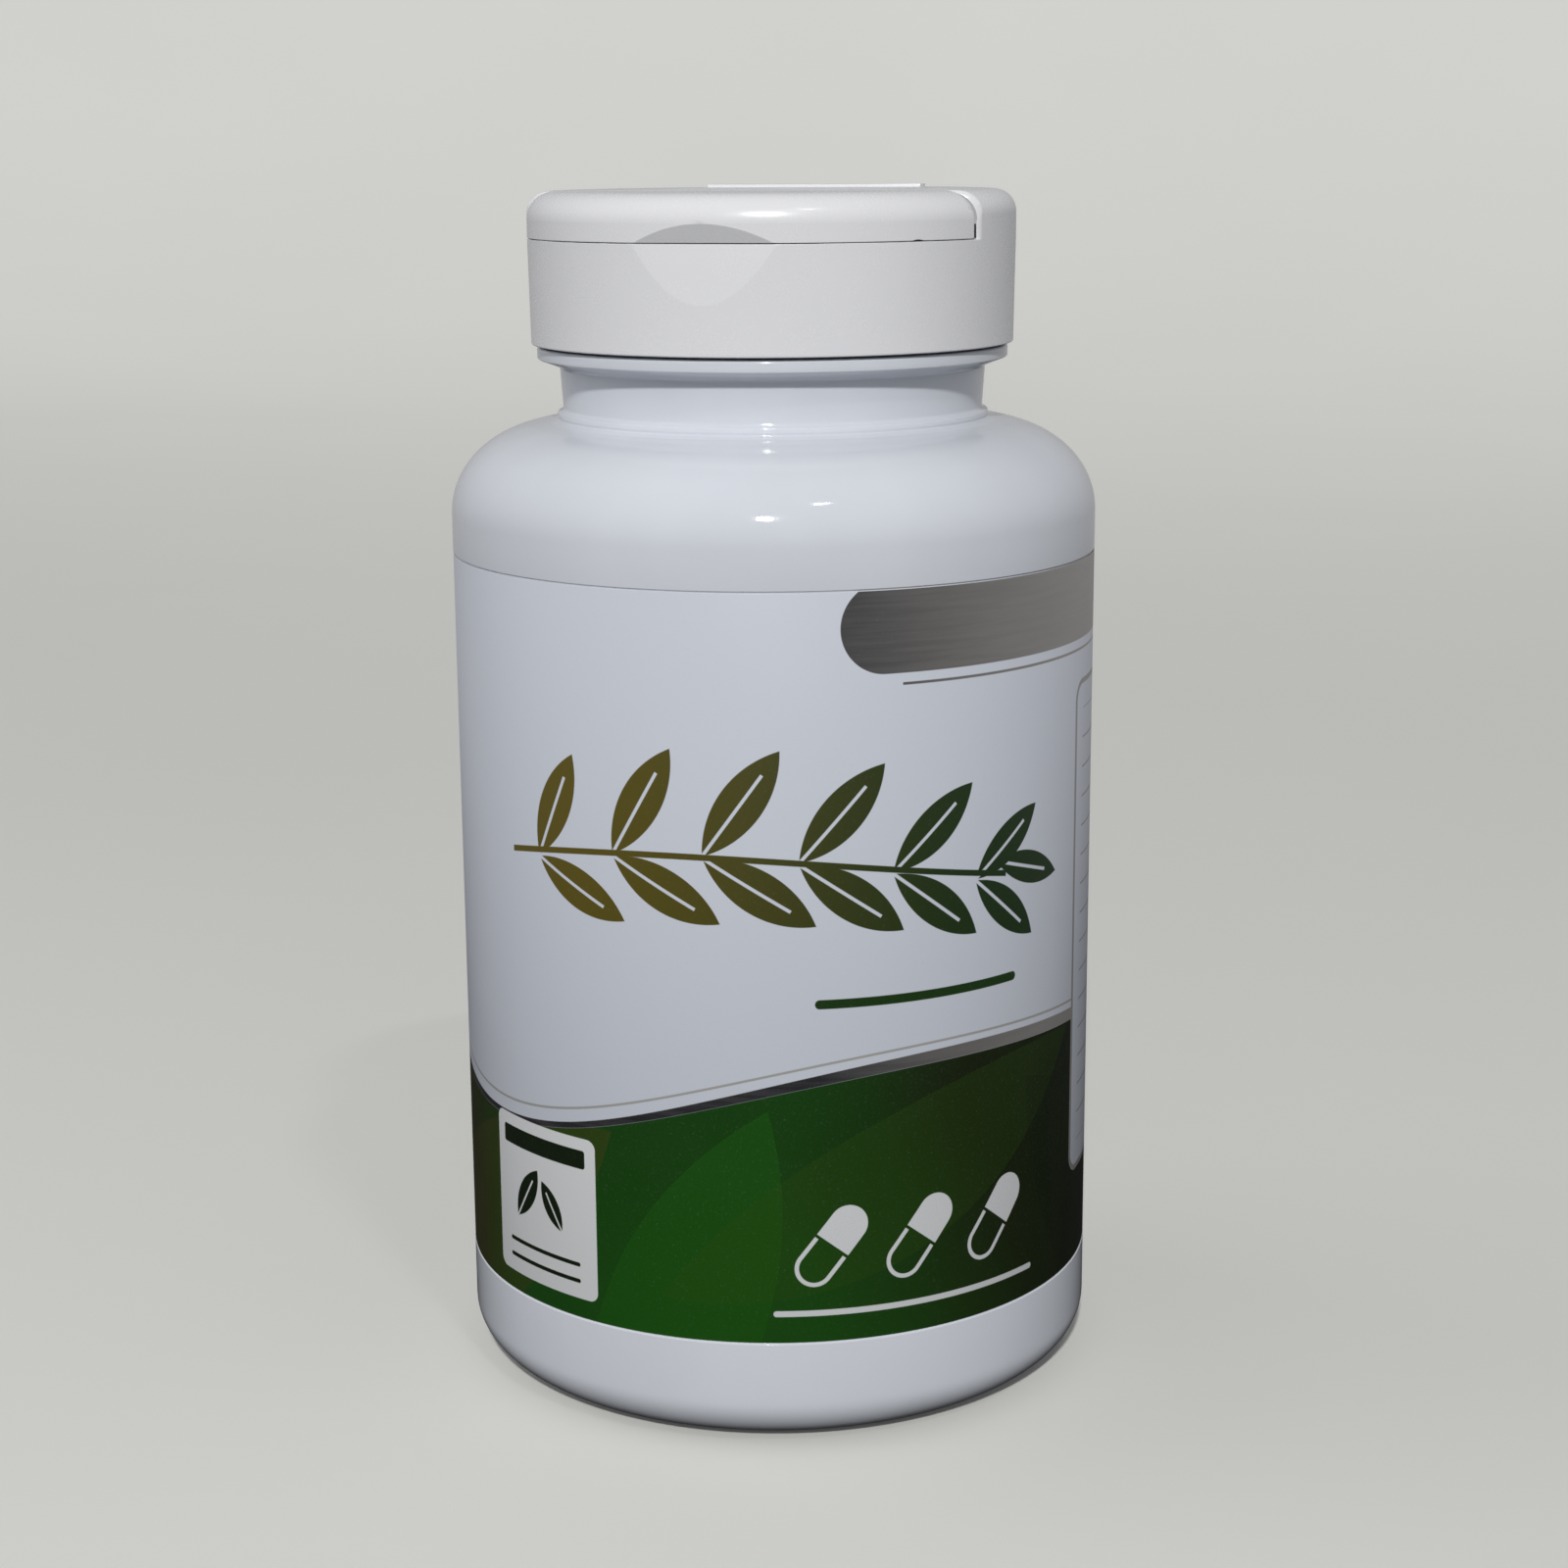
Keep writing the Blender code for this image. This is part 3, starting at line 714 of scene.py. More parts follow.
def label_finish(colours, radius):
    """Printed satin film: white ground, grey tab, sprig, silver line and a green band of soft leaves."""
    finish = Finish("printed satin film")
    art = Print(finish, radius)
    field = tuple(colours.field)
    across, up = art.across, art.up

    silver_share = finish.ramp(across, 4.0, 44.0, 0.0, 1.0, smooth=False)
    brushed = finish.noise(art.sheet, 0.9, detail=3.0, stretch=(0.12, 2.2, 1.0))
    silver = finish.mix(silver_share, tuple(colours.silver_dark), tuple(colours.silver_light))
    silver = finish.mix(finish.ramp(brushed, 0.3, 0.7, 0.0, 0.04), silver, (0.62, 0.61, 0.60))

    # Wavy upper edge of the green band, with a silver line and a fine one over it
    swing = finish.math("SINE", finish.math("MULTIPLY_ADD", across, 2 * math.pi / 112.0, 0.10))
    slow = finish.math("SINE", finish.math("MULTIPLY_ADD", across, 2 * math.pi / 67.0, 1.9))
    broad = finish.math("MULTIPLY_ADD", swing, 4.4, 34.4)
    edge = finish.math("ADD", broad, finish.math("MULTIPLY", slow, 1.1))
    above = finish.math("SUBTRACT", up, edge)
    band = art.under(above, 0.0)
    line_width = finish.math("MULTIPLY_ADD", swing, 0.35, 0.95)
    line = art.without(art.under(above, line_width), band)
    thin = art.both(art.under(1.9, above), art.under(above, 2.15))

    # Greens, from olive at the left through bright green to deep green at the right
    drift = finish.noise(art.sheet, 0.030, detail=1.0)
    where = finish.math("ADD", across, finish.math("MULTIPLY", finish.math("SUBTRACT", drift, 0.5), 46.0))
    warm = finish.ramp(where, -46.0, -18.0)
    cool = finish.ramp(where, -2.0, 26.0)
    green = finish.mix(warm, tuple(colours.olive), tuple(colours.leaf_green))
    green = finish.mix(cool, green, tuple(colours.deep_green))
    low_light = finish.ramp(up, 10.0, 36.0, 1.0, 0.72)
    green = finish.mix(1.0, green, finish.vector("MULTIPLY", low_light, (1.0, 1.0, 1.0)), blend="MULTIPLY")
    veils = (
        ((-38.0, 16.0), 35.0, 26.0, 9.0, 0.30, (0.075, 0.065, 0.010)),
        ((-10.0, 12.0), 68.0, 24.0, 8.0, 0.40, (0.014, 0.115, 0.006)),
        ((12.0, 26.0), 25.0, 26.0, 7.0, 0.25, (0.030, 0.080, 0.006)),
        ((44.0, 14.0), 130.0, 26.0, 9.0, 0.25, (0.006, 0.016, 0.005)),
        ((76.0, 22.0), 40.0, 28.0, 9.0, 0.25, (0.03, 0.11, 0.02)),
        ((-78.0, 20.0), 140.0, 28.0, 9.0, 0.25, (0.04, 0.10, 0.015)),
    )
    for middle, angle, half_length, half_width, weight, tint in veils:
        veil = art.leaf(middle, angle, half_length, half_width)
        green = finish.mix(finish.math("MULTIPLY", veil, weight), green, tint)

    ink = finish.mix(band, field, green)
    ink = finish.mix(line, ink, silver)
    ink = finish.mix(thin, ink, (0.36, 0.36, 0.35))

    # Grey tab at the top right, with a round end
    tab = art.box((56.0, 79.9), (50.0, 4.3), 4.3)
    ink = finish.mix(tab, ink, silver)
    tab_line = art.under(finish.math("ABSOLUTE", finish.math("SUBTRACT", up, 74.6)), 0.13)
    tab_line = art.both(tab_line, art.under(12.0, across))
    ink = finish.mix(tab_line, ink, silver)

    # Sprig across the middle, and a short rule under it
    sprig_share = finish.ramp(across, -26.0, 22.0)
    sprig_ink = finish.mix(sprig_share, (0.105, 0.080, 0.006), (0.010, 0.030, 0.005))
    ink = finish.mix(sprig(art), ink, sprig_ink)
    rule = art.box((14.5, 44.6), (11.0, 0.45), 0.45)
    ink = finish.mix(rule, ink, (0.010, 0.038, 0.005))

    # Ruled panels at the sides
    for middle, half, rules in (((63.5, 46.0), (26.5, 25.5), 17), ((-72.0, 52.0), (22.0, 21.0), 14)):
        whole, lines = ruled_panel(art, middle, half, rules)
        ink = finish.mix(whole, ink, field)
        ink = finish.mix(lines, ink, (0.30, 0.295, 0.29))

    # White patch at the lower left with a header, two leaves and rules
    patch = art.box((-26.2, 21.2), (7.5, 8.3), 1.0)
    ink = finish.mix(patch, ink, (0.74, 0.75, 0.76))
    marks = [
        art.box((-26.2, 27.3), (6.2, 0.95), 0.3),
        art.leaf((-28.4, 21.9), 58.0, 3.3, 1.25, vein=0.10),
        art.leaf((-24.6, 21.5), 122.0, 2.7, 1.05, vein=0.10),
    ]
    marks += [art.box((-26.2, 16.4 - 1.7 * row), (5.4, 0.22), 0.22) for row in range(2)]
    ink = finish.mix(art.any_of(marks), ink, (0.008, 0.016, 0.005))

    # Capsules and a rule at the lower right
    low_rule = art.box((14.0, 13.9), (14.6, 0.30), 0.30)
    ink = finish.mix(art.any_of([capsule_row(art), low_rule]), ink, (0.70, 0.72, 0.73))

    # The film itself: a fine speckle, a soft satin and slight waves where it lies on the wall
    speck = finish.noise(finish.place, 4.2, detail=2.0, roughness=0.7)
    ink = finish.mix(finish.ramp(speck, 0.58, 0.80, 0.0, 0.10), ink, (0.30, 0.30, 0.30))
    rubbed = finish.ramp(finish.noise(finish.place, 0.12, 4.0), 0.4, 0.7, 0.0, 0.05)
    gloss = finish.math("ADD", finish.ramp(speck, 0.3, 0.7, 0.33, 0.40), rubbed)
    waves = finish.bump(finish.noise(finish.place, 0.075, 1.0, stretch=(1.0, 1.0, 0.5)), 0.10)
    skin = finish.bump(speck, 0.004, onto=waves)
    return finish.set(Base_Color=ink, Roughness=gloss, IOR=1.45, Specular_IOR_Level=0.38, Normal=skin)


# Pieces


def bottle_outline(sizes):
    """The bottle's wall, up the inside from the floor's middle, over the rim and down the outside."""
    inner = sizes.body_radius - 0.00035 - sizes.wall
    floor_radius, floor_height = 0.0262, 0.0014
    shoulder_foot = (sizes.body_radius - sizes.shoulder_reach, sizes.shoulder_start)
    shoulder_top = sizes.shoulder_start + sizes.shoulder_rise
    neck, bore, rim = sizes.neck_radius, sizes.bore_radius, sizes.rim_top
    floor = soften(
        [
            (0.0, 0.0048, 0),
            (0.0145, 0.0045, 0.02),
            (0.0222, 0.0030, 0.008),
            (0.0254, floor_height, 0.002),
            (floor_radius, floor_height, 0),
        ]
    )
    heel = sizes.heel_height
    inner_heel = quarter((floor_radius, floor_height + heel), inner - floor_radius, heel, -84, 0, 10)
    inner_rise = sizes.shoulder_rise - sizes.wall
    inner_shoulder = quarter(shoulder_foot, inner - shoulder_foot[0], inner_rise, 0, 84, 20)
    mouth = soften(
        [
            (shoulder_foot[0], shoulder_top - sizes.wall, 0),
            (bore, shoulder_top - 0.0004, 0.0015),
            (bore, rim, 0.0003),
            (neck, rim, 0.0004),
            (neck, sizes.ring_top, 0.0002),
            (sizes.ring_radius, sizes.ring_top, 0.0003),
            (sizes.ring_radius - 0.00003, sizes.ring_bottom, 0.00015),
            (neck + 0.00012, sizes.ring_bottom - 0.00085, 0.0003),
            (neck - 0.00016, 0.09730, 0.0004),
            (neck + 0.00040, 0.09710, 0.00016),
            (neck + 0.00045, 0.09668, 0.00014),
            (neck + 0.00037, 0.09640, 0.0002),
            (neck + 0.00140, 0.09612, 0.0005),
            (0.02408, sizes.shoulder_start + 0.97815 * sizes.shoulder_rise, 0),
        ]
    )
    outer_shoulder = quarter(shoulder_foot, sizes.shoulder_reach, sizes.shoulder_rise, 77, 0, 26)
    radius = sizes.body_radius
    panel = radius - sizes.panel_depth
    body = soften(
        [
            (radius, sizes.shoulder_start - 0.0010, 0),
            (radius, LABEL_HIGH.z + 0.00022, 0.00008),
            (panel, LABEL_HIGH.z + 0.00010, 0.00004),
            (panel, LABEL_LOW.z - 0.00010, 0.00004),
            (radius, LABEL_LOW.z - 0.00022, 0.00008),
            (radius, heel + 0.0006, 0),
        ],
        steps=4,
    )
    outer_heel = quarter((sizes.ring_outer, heel), radius - sizes.ring_outer, heel, 0, -90, 16)
    underside = soften(
        [
            (sizes.ring_outer - 0.0003, 0.0, 0),
            (sizes.ring_inner, 0.0, 0.0012),
            (sizes.ring_inner - 0.0030, 0.0022, 0.0040),
            (0.0145, sizes.push_up - 0.0003, 0.02),
            (0.0, sizes.push_up, 0),
        ]
    )
    return floor + inner_heel + inner_shoulder + mouth + outer_shoulder + body + outer_heel + underside


class CAPSULE_BOTTLE_OT_blow_bottle(bpy.types.Operator):
    """Makes the blown bottle with its threaded neck"""

    bl_idname = "capsule_bottle.blow_bottle"
    bl_label = "Blow Bottle"

    def execute(self, context):
        sizes = context.scene.bottle_sizes
        closure = context.scene.closure_sizes
        around = context.scene.studio_settings.around
        ridge = screw_ridge(
            closure.thread_pitch,
            sizes.neck_radius,
            sizes.neck_radius + closure.thread_height,
            THREAD_SINK,
            0.0,
            1.25,
            closure.thread_start,
        )
        shape = carve("bottle", lathe(bottle_outline(sizes), around), [("UNION", ridge)])
        bmesh.ops.dissolve_degenerate(shape, dist=0.000002, edges=shape.edges)
        material = bottle_finish(context.scene.bottle_colours)
        finish_piece("blown_bottle", shape, "bottle", "bottle", material)
        return {"FINISHED"}


class CAPSULE_BOTTLE_OT_wrap_label(bpy.types.Operator):
    """Wraps the printed label round the body, with its seam at the back"""

    bl_idname = "capsule_bottle.wrap_label"
    bl_label = "Wrap Label"

    def execute(self, context):
        sizes = context.scene.bottle_sizes
        radius = sizes.body_radius - 0.00002
        inner = sizes.body_radius - sizes.panel_depth + 0.00001
        around = context.scene.studio_settings.around
        outline = soften(
            [
                (inner, LABEL_HIGH.z, 0),
                (radius, LABEL_HIGH.z, 0.00006),
                (radius, LABEL_LOW.z, 0.00006),
                (inner, LABEL_LOW.z, 0),
            ],
            steps=2,
        )
        shape = bmesh.new()
        seam = math.radians(109.7)
        gap = math.radians(5.4)
        start = seam + gap / 2
        points = [shape.verts.new((r * math.cos(start), r * math.sin(start), h)) for r, h in outline]
        section = shape.faces.new(points)
        bmesh.ops.spin(
            shape,
            geom=points + section.edges[:] + [section],
            cent=(0, 0, 0),
            axis=(0, 0, 1),
            angle=2 * math.pi - gap,
            steps=around,
            use_merge=False,
            use_duplicate=False,
        )
        close_ends(shape, len(outline))
        bmesh.ops.recalc_face_normals(shape, faces=shape.faces)
        material = label_finish(context.scene.bottle_colours, radius)
        finish_piece("wrap_label", shape, "bottle", "label", material)
        return {"FINISHED"}


class CAPSULE_BOTTLE_OT_cut_seal(bpy.types.Operator):
    """Makes the foam ring between the mouth and the cap's deck"""

    bl_idname = "capsule_bottle.cut_seal"
    bl_label = "Cut Sealing Ring"

    def execute(self, context):
        inner, outer = 0.0199, SEAL_HIGH.x
        low, high = SEAL_LOW.z, SEAL_HIGH.z
        edge = 0.00012
        corners = [
            (inner, (low + high) / 2, 0),
            (inner, high, edge),
            (outer, high, edge),
            (outer, low, edge),
            (inner, low, edge),
            (inner, (low + high) / 2 - 1e-5, 0),
        ]
        shape = lathe(soften(corners, steps=3), context.scene.studio_settings.around, closed=True)
        material = foam_finish(context.scene.bottle_colours)
        finish_piece("foam_seal", shape, "seal", "sealing_ring", material)
        return {"FINISHED"}


def chamfered_rear(sizes, front, chamfer):
    """A wedge that widens backwards from the fixed part's front, so that it is cut with a chamfer."""
    side = math.sqrt(sizes.radius**2 - front**2) - chamfer
    top, foot = sizes.top - chamfer, sizes.deck - 0.001
    rounding = sizes.top_rounding + 0.0001 - chamfer
    half = soften([(0.0, top, 0), (side, top, rounding), (side, foot, 0)], steps=10)
    shape = bmesh.new()
    points = [shape.verts.new((across, front, up)) for across, up in half]
    points += [shape.verts.new((-across, front, up)) for across, up in reversed(half[1:])]
    face = shape.faces.new(points)
    made = bmesh.ops.extrude_face_region(shape, geom=[face])
    rear = [item for item in made["geom"] if isinstance(item, bmesh.types.BMVert)]
    bmesh.ops.translate(shape, vec=(0.0, FAR, 0.0), verts=rear)
    reach = ((side + FAR) / side, 1.0, (top - foot + FAR) / (top - foot))
    bmesh.ops.scale(shape, vec=reach, space=Matrix.Translation((0.0, 0.0, -foot)), verts=rear)
    bmesh.ops.recalc_face_normals(shape, faces=shape.faces)
    return shape


def round_topped(sizes, foot, around):
    """A turned body with the round upper edge that the cap's fixed part and the lid share."""
    corners = [(0.0, sizes.top, 0), (sizes.radius, sizes.top, sizes.top_rounding)] + foot
    return lathe(soften(corners, steps=10), around)


def round_hollow(radius, roof, rounding, bottom, around):
    """A turned cutter with a flat roof and a round edge, for the spaces inside the cap and the lid."""
    corners = [(0.0, roof, 0), (radius, roof, rounding), (radius, bottom, 0), (0.0, bottom, 0)]
    return lathe(soften(corners), around)


def cutters(shapes):
    """The steps that cut shapes away one after another."""
    return [("DIFFERENCE", shape) for shape in shapes]


def deck_groove(sizes, front, around):
    """The groove round the deck, open at the thumb recess and ending before the fixed part."""
    inner, outer, depth, above = 0.02255, 0.02380, 0.0008, 0.0004
    corners = [
        (inner, sizes.deck - depth, 0),
        (outer - 0.00008, sizes.deck - depth, 0),
        (outer, sizes.deck + above, 0),
        (inner, sizes.deck + above, 0),
    ]
    recess_half = 0.0072
    before = block((-FAR, -FAR, LOW), (FAR, front - 0.0004, HIGH))
    recess = block((-recess_half, -FAR, LOW), (recess_half, 0.0, HIGH))
    ring = lathe(soften(corners), around, closed=True)
    return carve("groove", ring, [("INTERSECT", before), ("DIFFERENCE", recess)])


class CAPSULE_BOTTLE_OT_mould_cap(bpy.types.Operator):
    """Makes the screw cap: skirt, deck with its dispensing hole, and the fixed part of the top"""

    bl_idname = "capsule_bottle.mould_cap"
    bl_label = "Mould Cap"

    def execute(self, context):
        sizes = context.scene.closure_sizes
        around = context.scene.studio_settings.around
        deck_bottom = sizes.deck - sizes.deck_thickness
        front = HINGE.y + 0.00037
        foot = [
            (sizes.radius, sizes.deck, 0.004),
            (sizes.foot_radius, CAP_LOW.z, 0.00015),
            (sizes.bore, CAP_LOW.z, 0.0003),
            (sizes.bore, deck_bottom, 0.0004),
            (0.0, deck_bottom, 0),
        ]
        above_deck = block((-FAR, -FAR, sizes.deck), (FAR, FAR, HIGH))
        lid_space = carve("lid_space", above_deck, cutters([chamfered_rear(sizes, front, 0.00018)]))
        rim_radius = sizes.hole_end + 0.0010
        rim = slot_prism(sizes, rim_radius, rim_radius, sizes.deck - 0.0005, sizes.deck + 0.0010)
        hole = slot_prism(sizes, sizes.hole_end, sizes.hole_end, deck_bottom - 0.001, sizes.deck + 0.003)
        pocket_body = round_hollow(0.0185, sizes.top - 0.0016, 0.0005, deck_bottom - 0.001, around)
        behind = block((-FAR, front + 0.0012, LOW), (FAR, FAR, HIGH))
        pocket = carve("pocket", pocket_body, [("INTERSECT", behind)])
        ridge = screw_ridge(
            sizes.thread_pitch,
            sizes.bore,
            sizes.bore - sizes.thread_height,
            THREAD_SINK,
            200 / 360,
            1.0,
            sizes.thread_start - sizes.thread_pitch / 2,
        )
        bar = block((-0.0114, 0.0160, sizes.top - 0.0005), (0.0114, 0.0184, CAP_HIGH.z))
        flat = slanted_cutter(sizes.radius, sizes.deck - 0.0061, CAP_LEAN)
        relief_low, relief_high = sizes.deck + 0.00004, sizes.deck + 0.0014
        reliefs = [
            block((left, front - 0.001, relief_low), (right, front + 0.0026, relief_high))
            for left, right in ((-0.02226, -0.0200), (0.0200, 0.02226))
        ]
        steps = cutters([lid_space, deck_groove(sizes, front, around), flat, *reliefs])
        steps += [("UNION", rim), *cutters([hole, pocket]), ("UNION", ridge), ("UNION", bar)]
        shape = carve("cap", round_topped(sizes, foot, around), steps)
        join_slivers(shape, 0.00004)
        soften_edges(shape, sizes.edge)
        material = cap_finish("moulded cap plastic", context.scene.bottle_colours, 0.0)
        finish_piece("screw_cap", shape, "cap", "cap", material, lean=CAP_LEAN, share=0.4)
        return {"FINISHED"}


def relief_notch(bottom):
    """A lying cylinder that cuts the small arched notch in the lid's lower edge."""
    radius, depth = 0.0022, 0.02
    inner_end = -0.0226
    swing = Matrix.Rotation(math.radians(49.8), 4, "Z")
    place = Matrix.Translation((0.0, inner_end - depth / 2, bottom + 0.00010 - radius))
    shape = bmesh.new()
    bmesh.ops.create_cone(
        shape,
        cap_ends=True,
        segments=128,
        radius1=radius,
        radius2=radius,
        depth=depth,
        matrix=swing @ place @ Matrix.Rotation(math.pi / 2, 4, "X"),
    )
    return shape


class CAPSULE_BOTTLE_OT_mould_lid(bpy.types.Operator):
    """Makes the flip-up lid with its plug ring, thumb recess and relief notch"""

    bl_idname = "capsule_bottle.mould_lid"
    bl_label = "Mould Lid"

    def execute(self, context):
        sizes = context.scene.closure_sizes
        around = context.scene.studio_settings.around
        bottom, rear = LID_LOW.z + 0.00006, LID_HIGH.y
        below = bottom - 0.001
        body = round_topped(sizes, [(sizes.radius, below, 0), (0.0, below, 0)], around)
        side = round_lower_rear(block((-FAR, -FAR, bottom), (FAR, rear, HIGH)), 0.0006)
        roof = sizes.top - 0.0013
        hollow_body = round_hollow(sizes.radius - 0.0012, roof, 0.0014, bottom - 0.02, around)
        front_wall = block((-FAR, -FAR, LOW), (FAR, -0.0213, HIGH))
        hollow = carve("hollow", hollow_body, cutters([front_wall]))
        plug_radius = sizes.hole_end - 0.0003
        plug_bore_radius = plug_radius - 0.0012
        plug_low = 0.1140
        plug = slot_prism(sizes, plug_radius - 0.0003, plug_radius, plug_low, roof + 0.0005)
        plug_bore = slot_prism(sizes, plug_bore_radius, plug_bore_radius, plug_low - 0.001, roof)
        plug_ring = carve("plug", plug, cutters([plug_bore]))
        thumb = slanted_cutter(sizes.radius, bottom + 0.00175, LID_LEAN)
        clear_rear = rear - 0.00036
        corners = [
            block((left, clear_rear, below), (right, FAR, HIGH))
            for left, right in ((-FAR, -0.0158), (0.0158, FAR))
        ]
        steps = [("INTERSECT", side), *cutters([hollow]), ("UNION", plug_ring)]
        steps += cutters([*corners, thumb, relief_notch(bottom)])
        shape = carve("lid", body, steps)
        join_slivers(shape, 0.00003)
        soften_edges(shape, sizes.edge)
        material = cap_finish("moulded lid plastic", context.scene.bottle_colours, 7.0)
        finish_piece("flip_lid", shape, "lid", "lid", material, lean=LID_LEAN, share=0.85)
        return {"FINISHED"}


class CAPSULE_BOTTLE_OT_form_hinge(bpy.types.Operator):
    """Makes the thin web that joins the lid to the cap"""

    bl_idname = "capsule_bottle.form_hinge"
    bl_label = "Form Hinge Web"

    def execute(self, context):
        sizes = context.scene.closure_sizes
        half = 0.0005
        low = (-0.0150, HINGE.y - half, sizes.top - 0.00042)
        high = (0.0150, HINGE.y + half, sizes.top - 0.00014)
        shape = block(low, high)
        across = [edge for edge in shape.edges if abs(edge.verts[0].co.y - edge.verts[1].co.y) > half]
        bmesh.ops.subdivide_edges(shape, edges=across, cuts=15, use_grid_fill=True)
        material = cap_finish("hinge web plastic", context.scene.bottle_colours, 3.0)
        piece = to_object("hinge_web", shape)
        piece.data.shade_smooth()
        piece.data.set_sharp_from_angle(angle=math.radians(40))
        piece.data.materials.append(material)
        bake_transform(piece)
        return {"FINISHED"}


class CAPSULE_BOTTLE_OT_set_stage(bpy.types.Operator):
    """Lays the pale floor and sets the lights and the camera"""

    bl_idname = "capsule_bottle.set_stage"
    bl_label = "Set Stage"

    def execute(self, context):
        scene = context.scene
        studio = scene.studio_settings
        set_floor(studio)
        set_lights(scene)
        set_camera(scene)
        return {"FINISHED"}


# Stage


def set_floor(studio):
    """A pale round sweep: a floor that curves up into a wall all round."""
    shape = lathe(soften([(0.0, 0.0, 0), (1.8, 0.0, 0.7), (1.8, 2.4, 0)], steps=16), 96)
    bmesh.ops.reverse_faces(shape, faces=shape.faces)
    floor = to_object("pale_floor", shape)
    floor.data.shade_smooth()
    finish = Finish("pale matt floor")
    base = tuple(studio.floor)
    cloud = finish.noise(finish.place, 0.006, detail=4.0)
    tint = finish.mix(finish.ramp(cloud, 0.3, 0.7), tuple(0.985 * part for part in base), base)
    depth = finish.parts(finish.place)[1]
    glow = finish.ramp(depth, 0.0, 1200.0, 0.03, studio.wall_glow)
    finish.set(Base_Color=tint, Roughness=0.7, Emission_Color=tint, Emission_Strength=glow)
    finish.material.cycles.emission_sampling = "NONE"
    floor.data.materials.append(finish.material)

    # The pale floor throws no light up at the bottle, so that its base keeps its shade
    floor.visible_diffuse = False
    floor.visible_glossy = False


def add_light(name, place, aim, size, power, tint=(1.0, 1.0, 1.0), mirrored=True):
    light = bpy.data.lights.new(name, "AREA")
    light.shape = "RECTANGLE"
    light.size, light.size_y = size
    light.energy = power
    light.color = tint
    lamp = bpy.data.objects.new(name, light)
    turn = Matrix.Rotation(FRONT_TURN, 4, "Z")
    place, aim = turn @ Vector(place), turn @ Vector(aim)
    lamp.location = place
    lamp.rotation_euler = (aim - place).to_track_quat("-Z", "Y").to_euler()
    lamp.visible_glossy = mirrored
    bpy.context.scene.collection.objects.link(lamp)


def set_lights(scene):
    """Two lamps above the viewpoint, a fill at the left and a room that is pale above and dark below."""
    world = bpy.data.worlds.new("studio surround")
    world.use_nodes = True
    nodes, links = world.node_tree.nodes, world.node_tree.links
    direction = nodes.new("ShaderNodeTexCoord")
    split = nodes.new("ShaderNodeSeparateXYZ")
    background = nodes["Background"]
    links.new(direction.outputs["Generated"], split.inputs[0])
    room_light = scene.studio_settings.room_light
    strength = None
    for low, high, start, end in ((-0.30, -0.12, 0.02, room_light), (0.25, 0.85, 0.0, -0.6 * room_light)):
        rise = nodes.new("ShaderNodeMapRange")
        rise.interpolation_type = "SMOOTHSTEP"
        links.new(split.outputs["Z"], rise.inputs["Value"])
        for socket, value in zip(rise.inputs[1:5], (low, high, start, end)):
            socket.default_value = value
        if strength:
            total = nodes.new("ShaderNodeMath")
            links.new(strength, total.inputs[0])
            links.new(rise.outputs["Result"], total.inputs[1])
            strength = total.outputs[0]
        else:
            strength = rise.outputs["Result"]
    links.new(strength, background.inputs["Strength"])
    background.inputs["Color"].default_value = (0.985, 0.99, 1.0, 1.0)
    scene.world = world
    scene.view_settings.view_transform = "Standard"
    middle = (0.0, 0.0, LAMP_AIM)
    add_light("main_lamp", lamp_place(-3.5, 35.5, 1.6), middle, (0.09, 0.09), 17.0, (1.0, 0.995, 0.985))
    add_light("second_lamp", lamp_place(23.0, 53.0, 1.6), middle, (0.10, 0.03), 1.3)
    add_light("left_fill", lamp_place(-100.0, 25.0, 1.05), middle, (0.8, 0.8), 1.6, mirrored=False)


def lamp_place(around, up, distance):
    """A place at an angle round from the label's front and an angle up, both in degrees."""
    around, up = math.radians(around), math.radians(up)
    level = distance * math.cos(up)
    return (level * math.sin(around), -level * math.cos(around), LAMP_AIM + distance * math.sin(up))


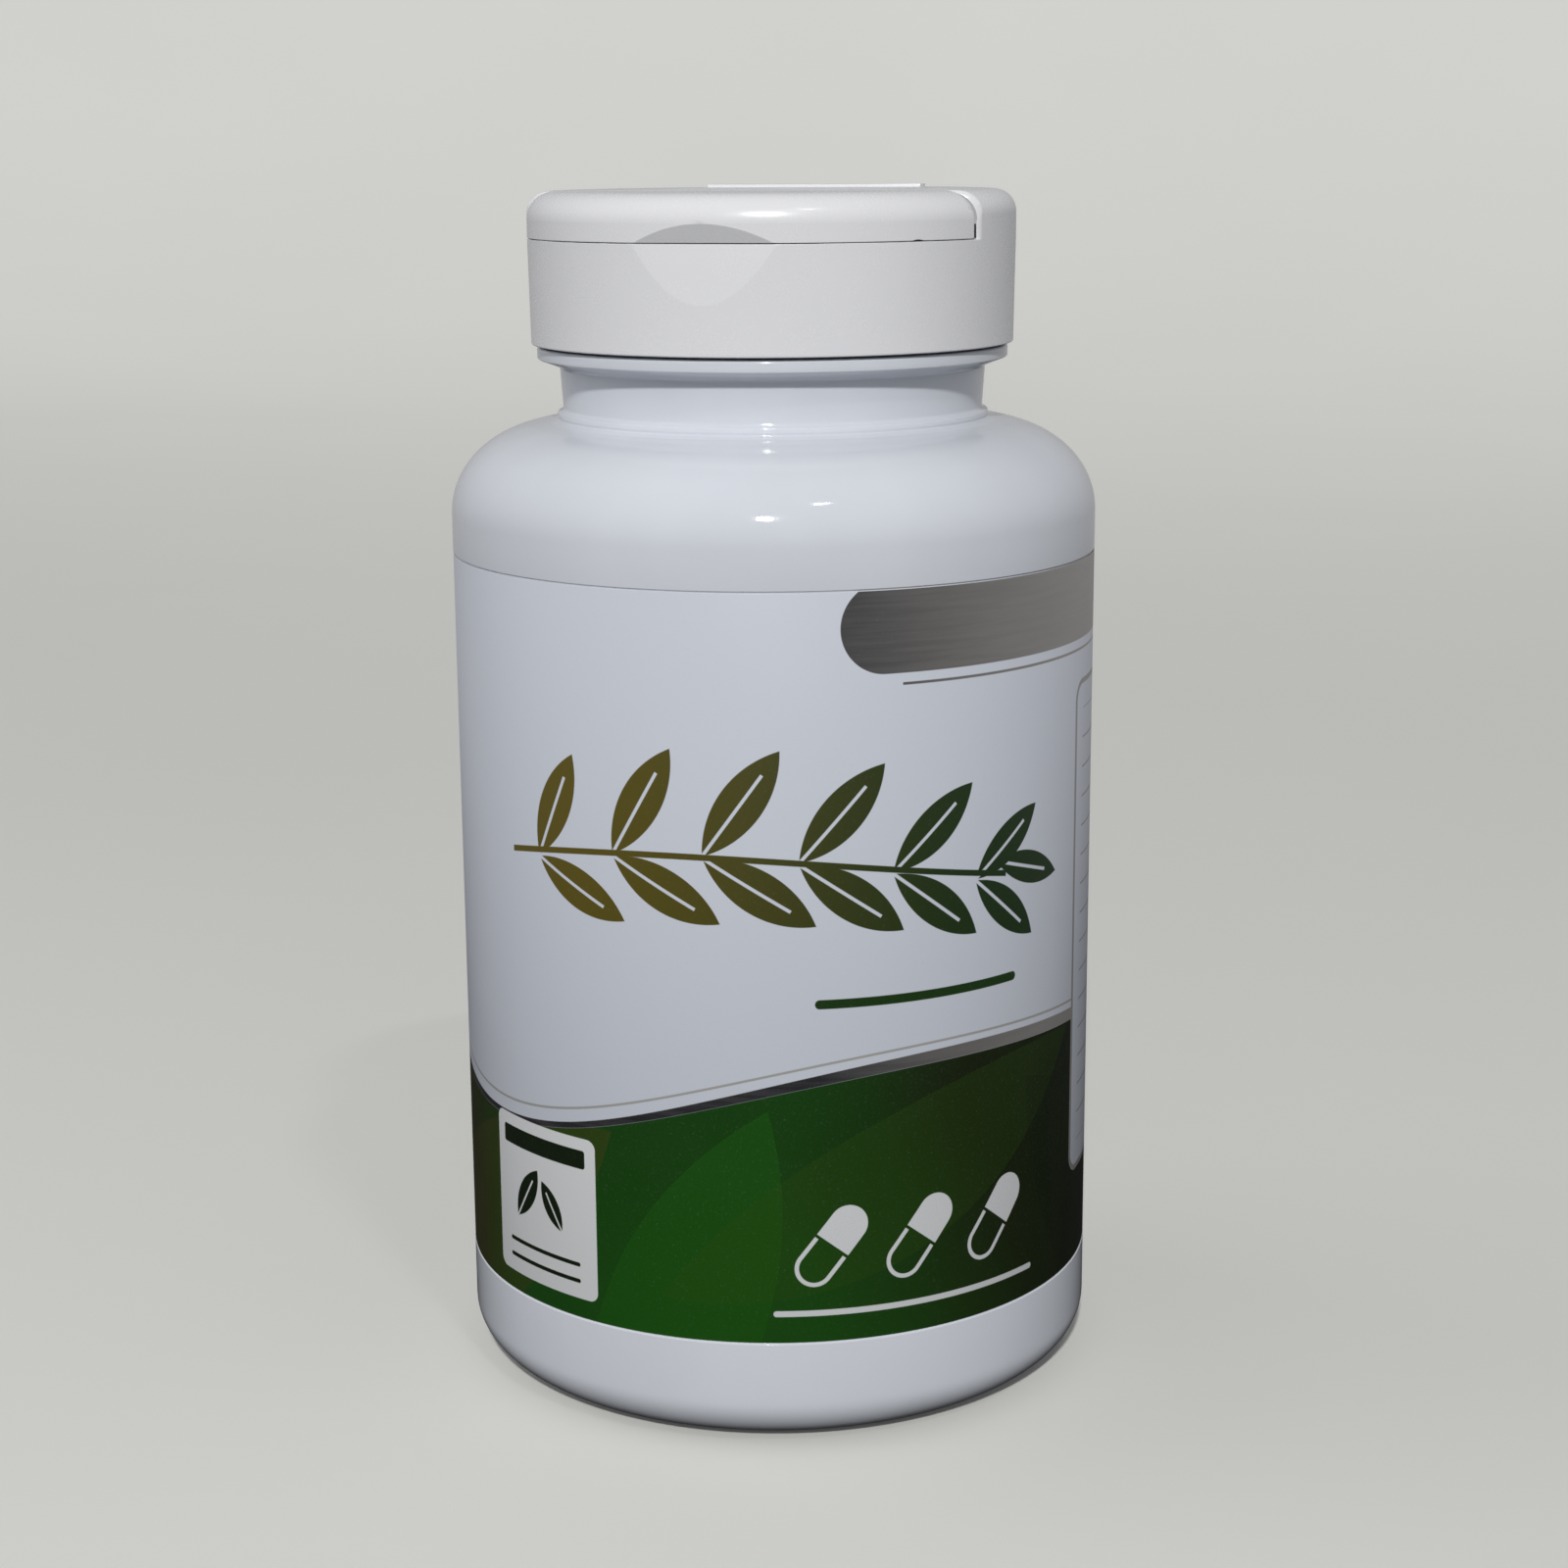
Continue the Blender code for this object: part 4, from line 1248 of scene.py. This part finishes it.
def set_camera(scene):
    """The photo's viewpoint: its distance, height, small roll and framing."""
    radius = BOTTLE_HIGH.x
    distance, height = 8.7915 * radius, 3.7957 * radius
    pitch, roll, yaw = 0.2217, -0.0070, 0.0030
    focal_pixels, frame_pixels = 2876.3, 1600
    forward = Vector((math.sin(yaw) * math.cos(pitch), math.cos(yaw) * math.cos(pitch), -math.sin(pitch)))
    level = forward.cross(Vector((0, 0, 1))).normalized()
    upright = level.cross(forward)
    right = level * math.cos(roll) + upright * math.sin(roll)
    up = upright * math.cos(roll) - level * math.sin(roll)
    axes = Matrix((right, up, -forward)).transposed().to_4x4()
    pose = Matrix.Rotation(FRONT_TURN, 4, "Z") @ Matrix.Translation((0, -distance, height)) @ axes
    data = bpy.data.cameras.new("viewpoint")
    data.sensor_width = 36.0
    data.lens = focal_pixels / frame_pixels * data.sensor_width
    data.clip_start, data.clip_end = 0.01, 20.0
    camera = bpy.data.objects.new("viewpoint", data)
    camera.matrix_world = pose
    scene.collection.objects.link(camera)
    scene.camera = camera


class CAPSULE_BOTTLE_PT_panel(bpy.types.Panel):
    """Lists the steps that build the bottle"""

    bl_idname = "CAPSULE_BOTTLE_PT_panel"
    bl_label = "Capsule Bottle"
    bl_space_type = "VIEW_3D"
    bl_region_type = "UI"
    bl_category = "Capsule Bottle"

    def draw(self, context):
        for step in STEPS:
            self.layout.operator(step.bl_idname)


STEPS = (
    CAPSULE_BOTTLE_OT_set_stage,
    CAPSULE_BOTTLE_OT_blow_bottle,
    CAPSULE_BOTTLE_OT_wrap_label,
    CAPSULE_BOTTLE_OT_cut_seal,
    CAPSULE_BOTTLE_OT_mould_cap,
    CAPSULE_BOTTLE_OT_mould_lid,
    CAPSULE_BOTTLE_OT_form_hinge,
)
GROUPS = {
    "bottle_sizes": BottleSizes,
    "closure_sizes": ClosureSizes,
    "bottle_colours": BottleColours,
    "studio_settings": StudioSettings,
}


def register():
    for kind in (*GROUPS.values(), *STEPS, CAPSULE_BOTTLE_PT_panel):
        bpy.utils.register_class(kind)
    for name, group in GROUPS.items():
        setattr(bpy.types.Scene, name, bpy.props.PointerProperty(type=group))


def unregister():
    for name in GROUPS:
        delattr(bpy.types.Scene, name)
    for kind in (CAPSULE_BOTTLE_PT_panel, *reversed(STEPS), *reversed(GROUPS.values())):
        bpy.utils.unregister_class(kind)


def main():
    register()
    for step in STEPS:
        family, action = step.bl_idname.split(".")
        getattr(getattr(bpy.ops, family), action)()


if __name__ == "__main__":
    main()
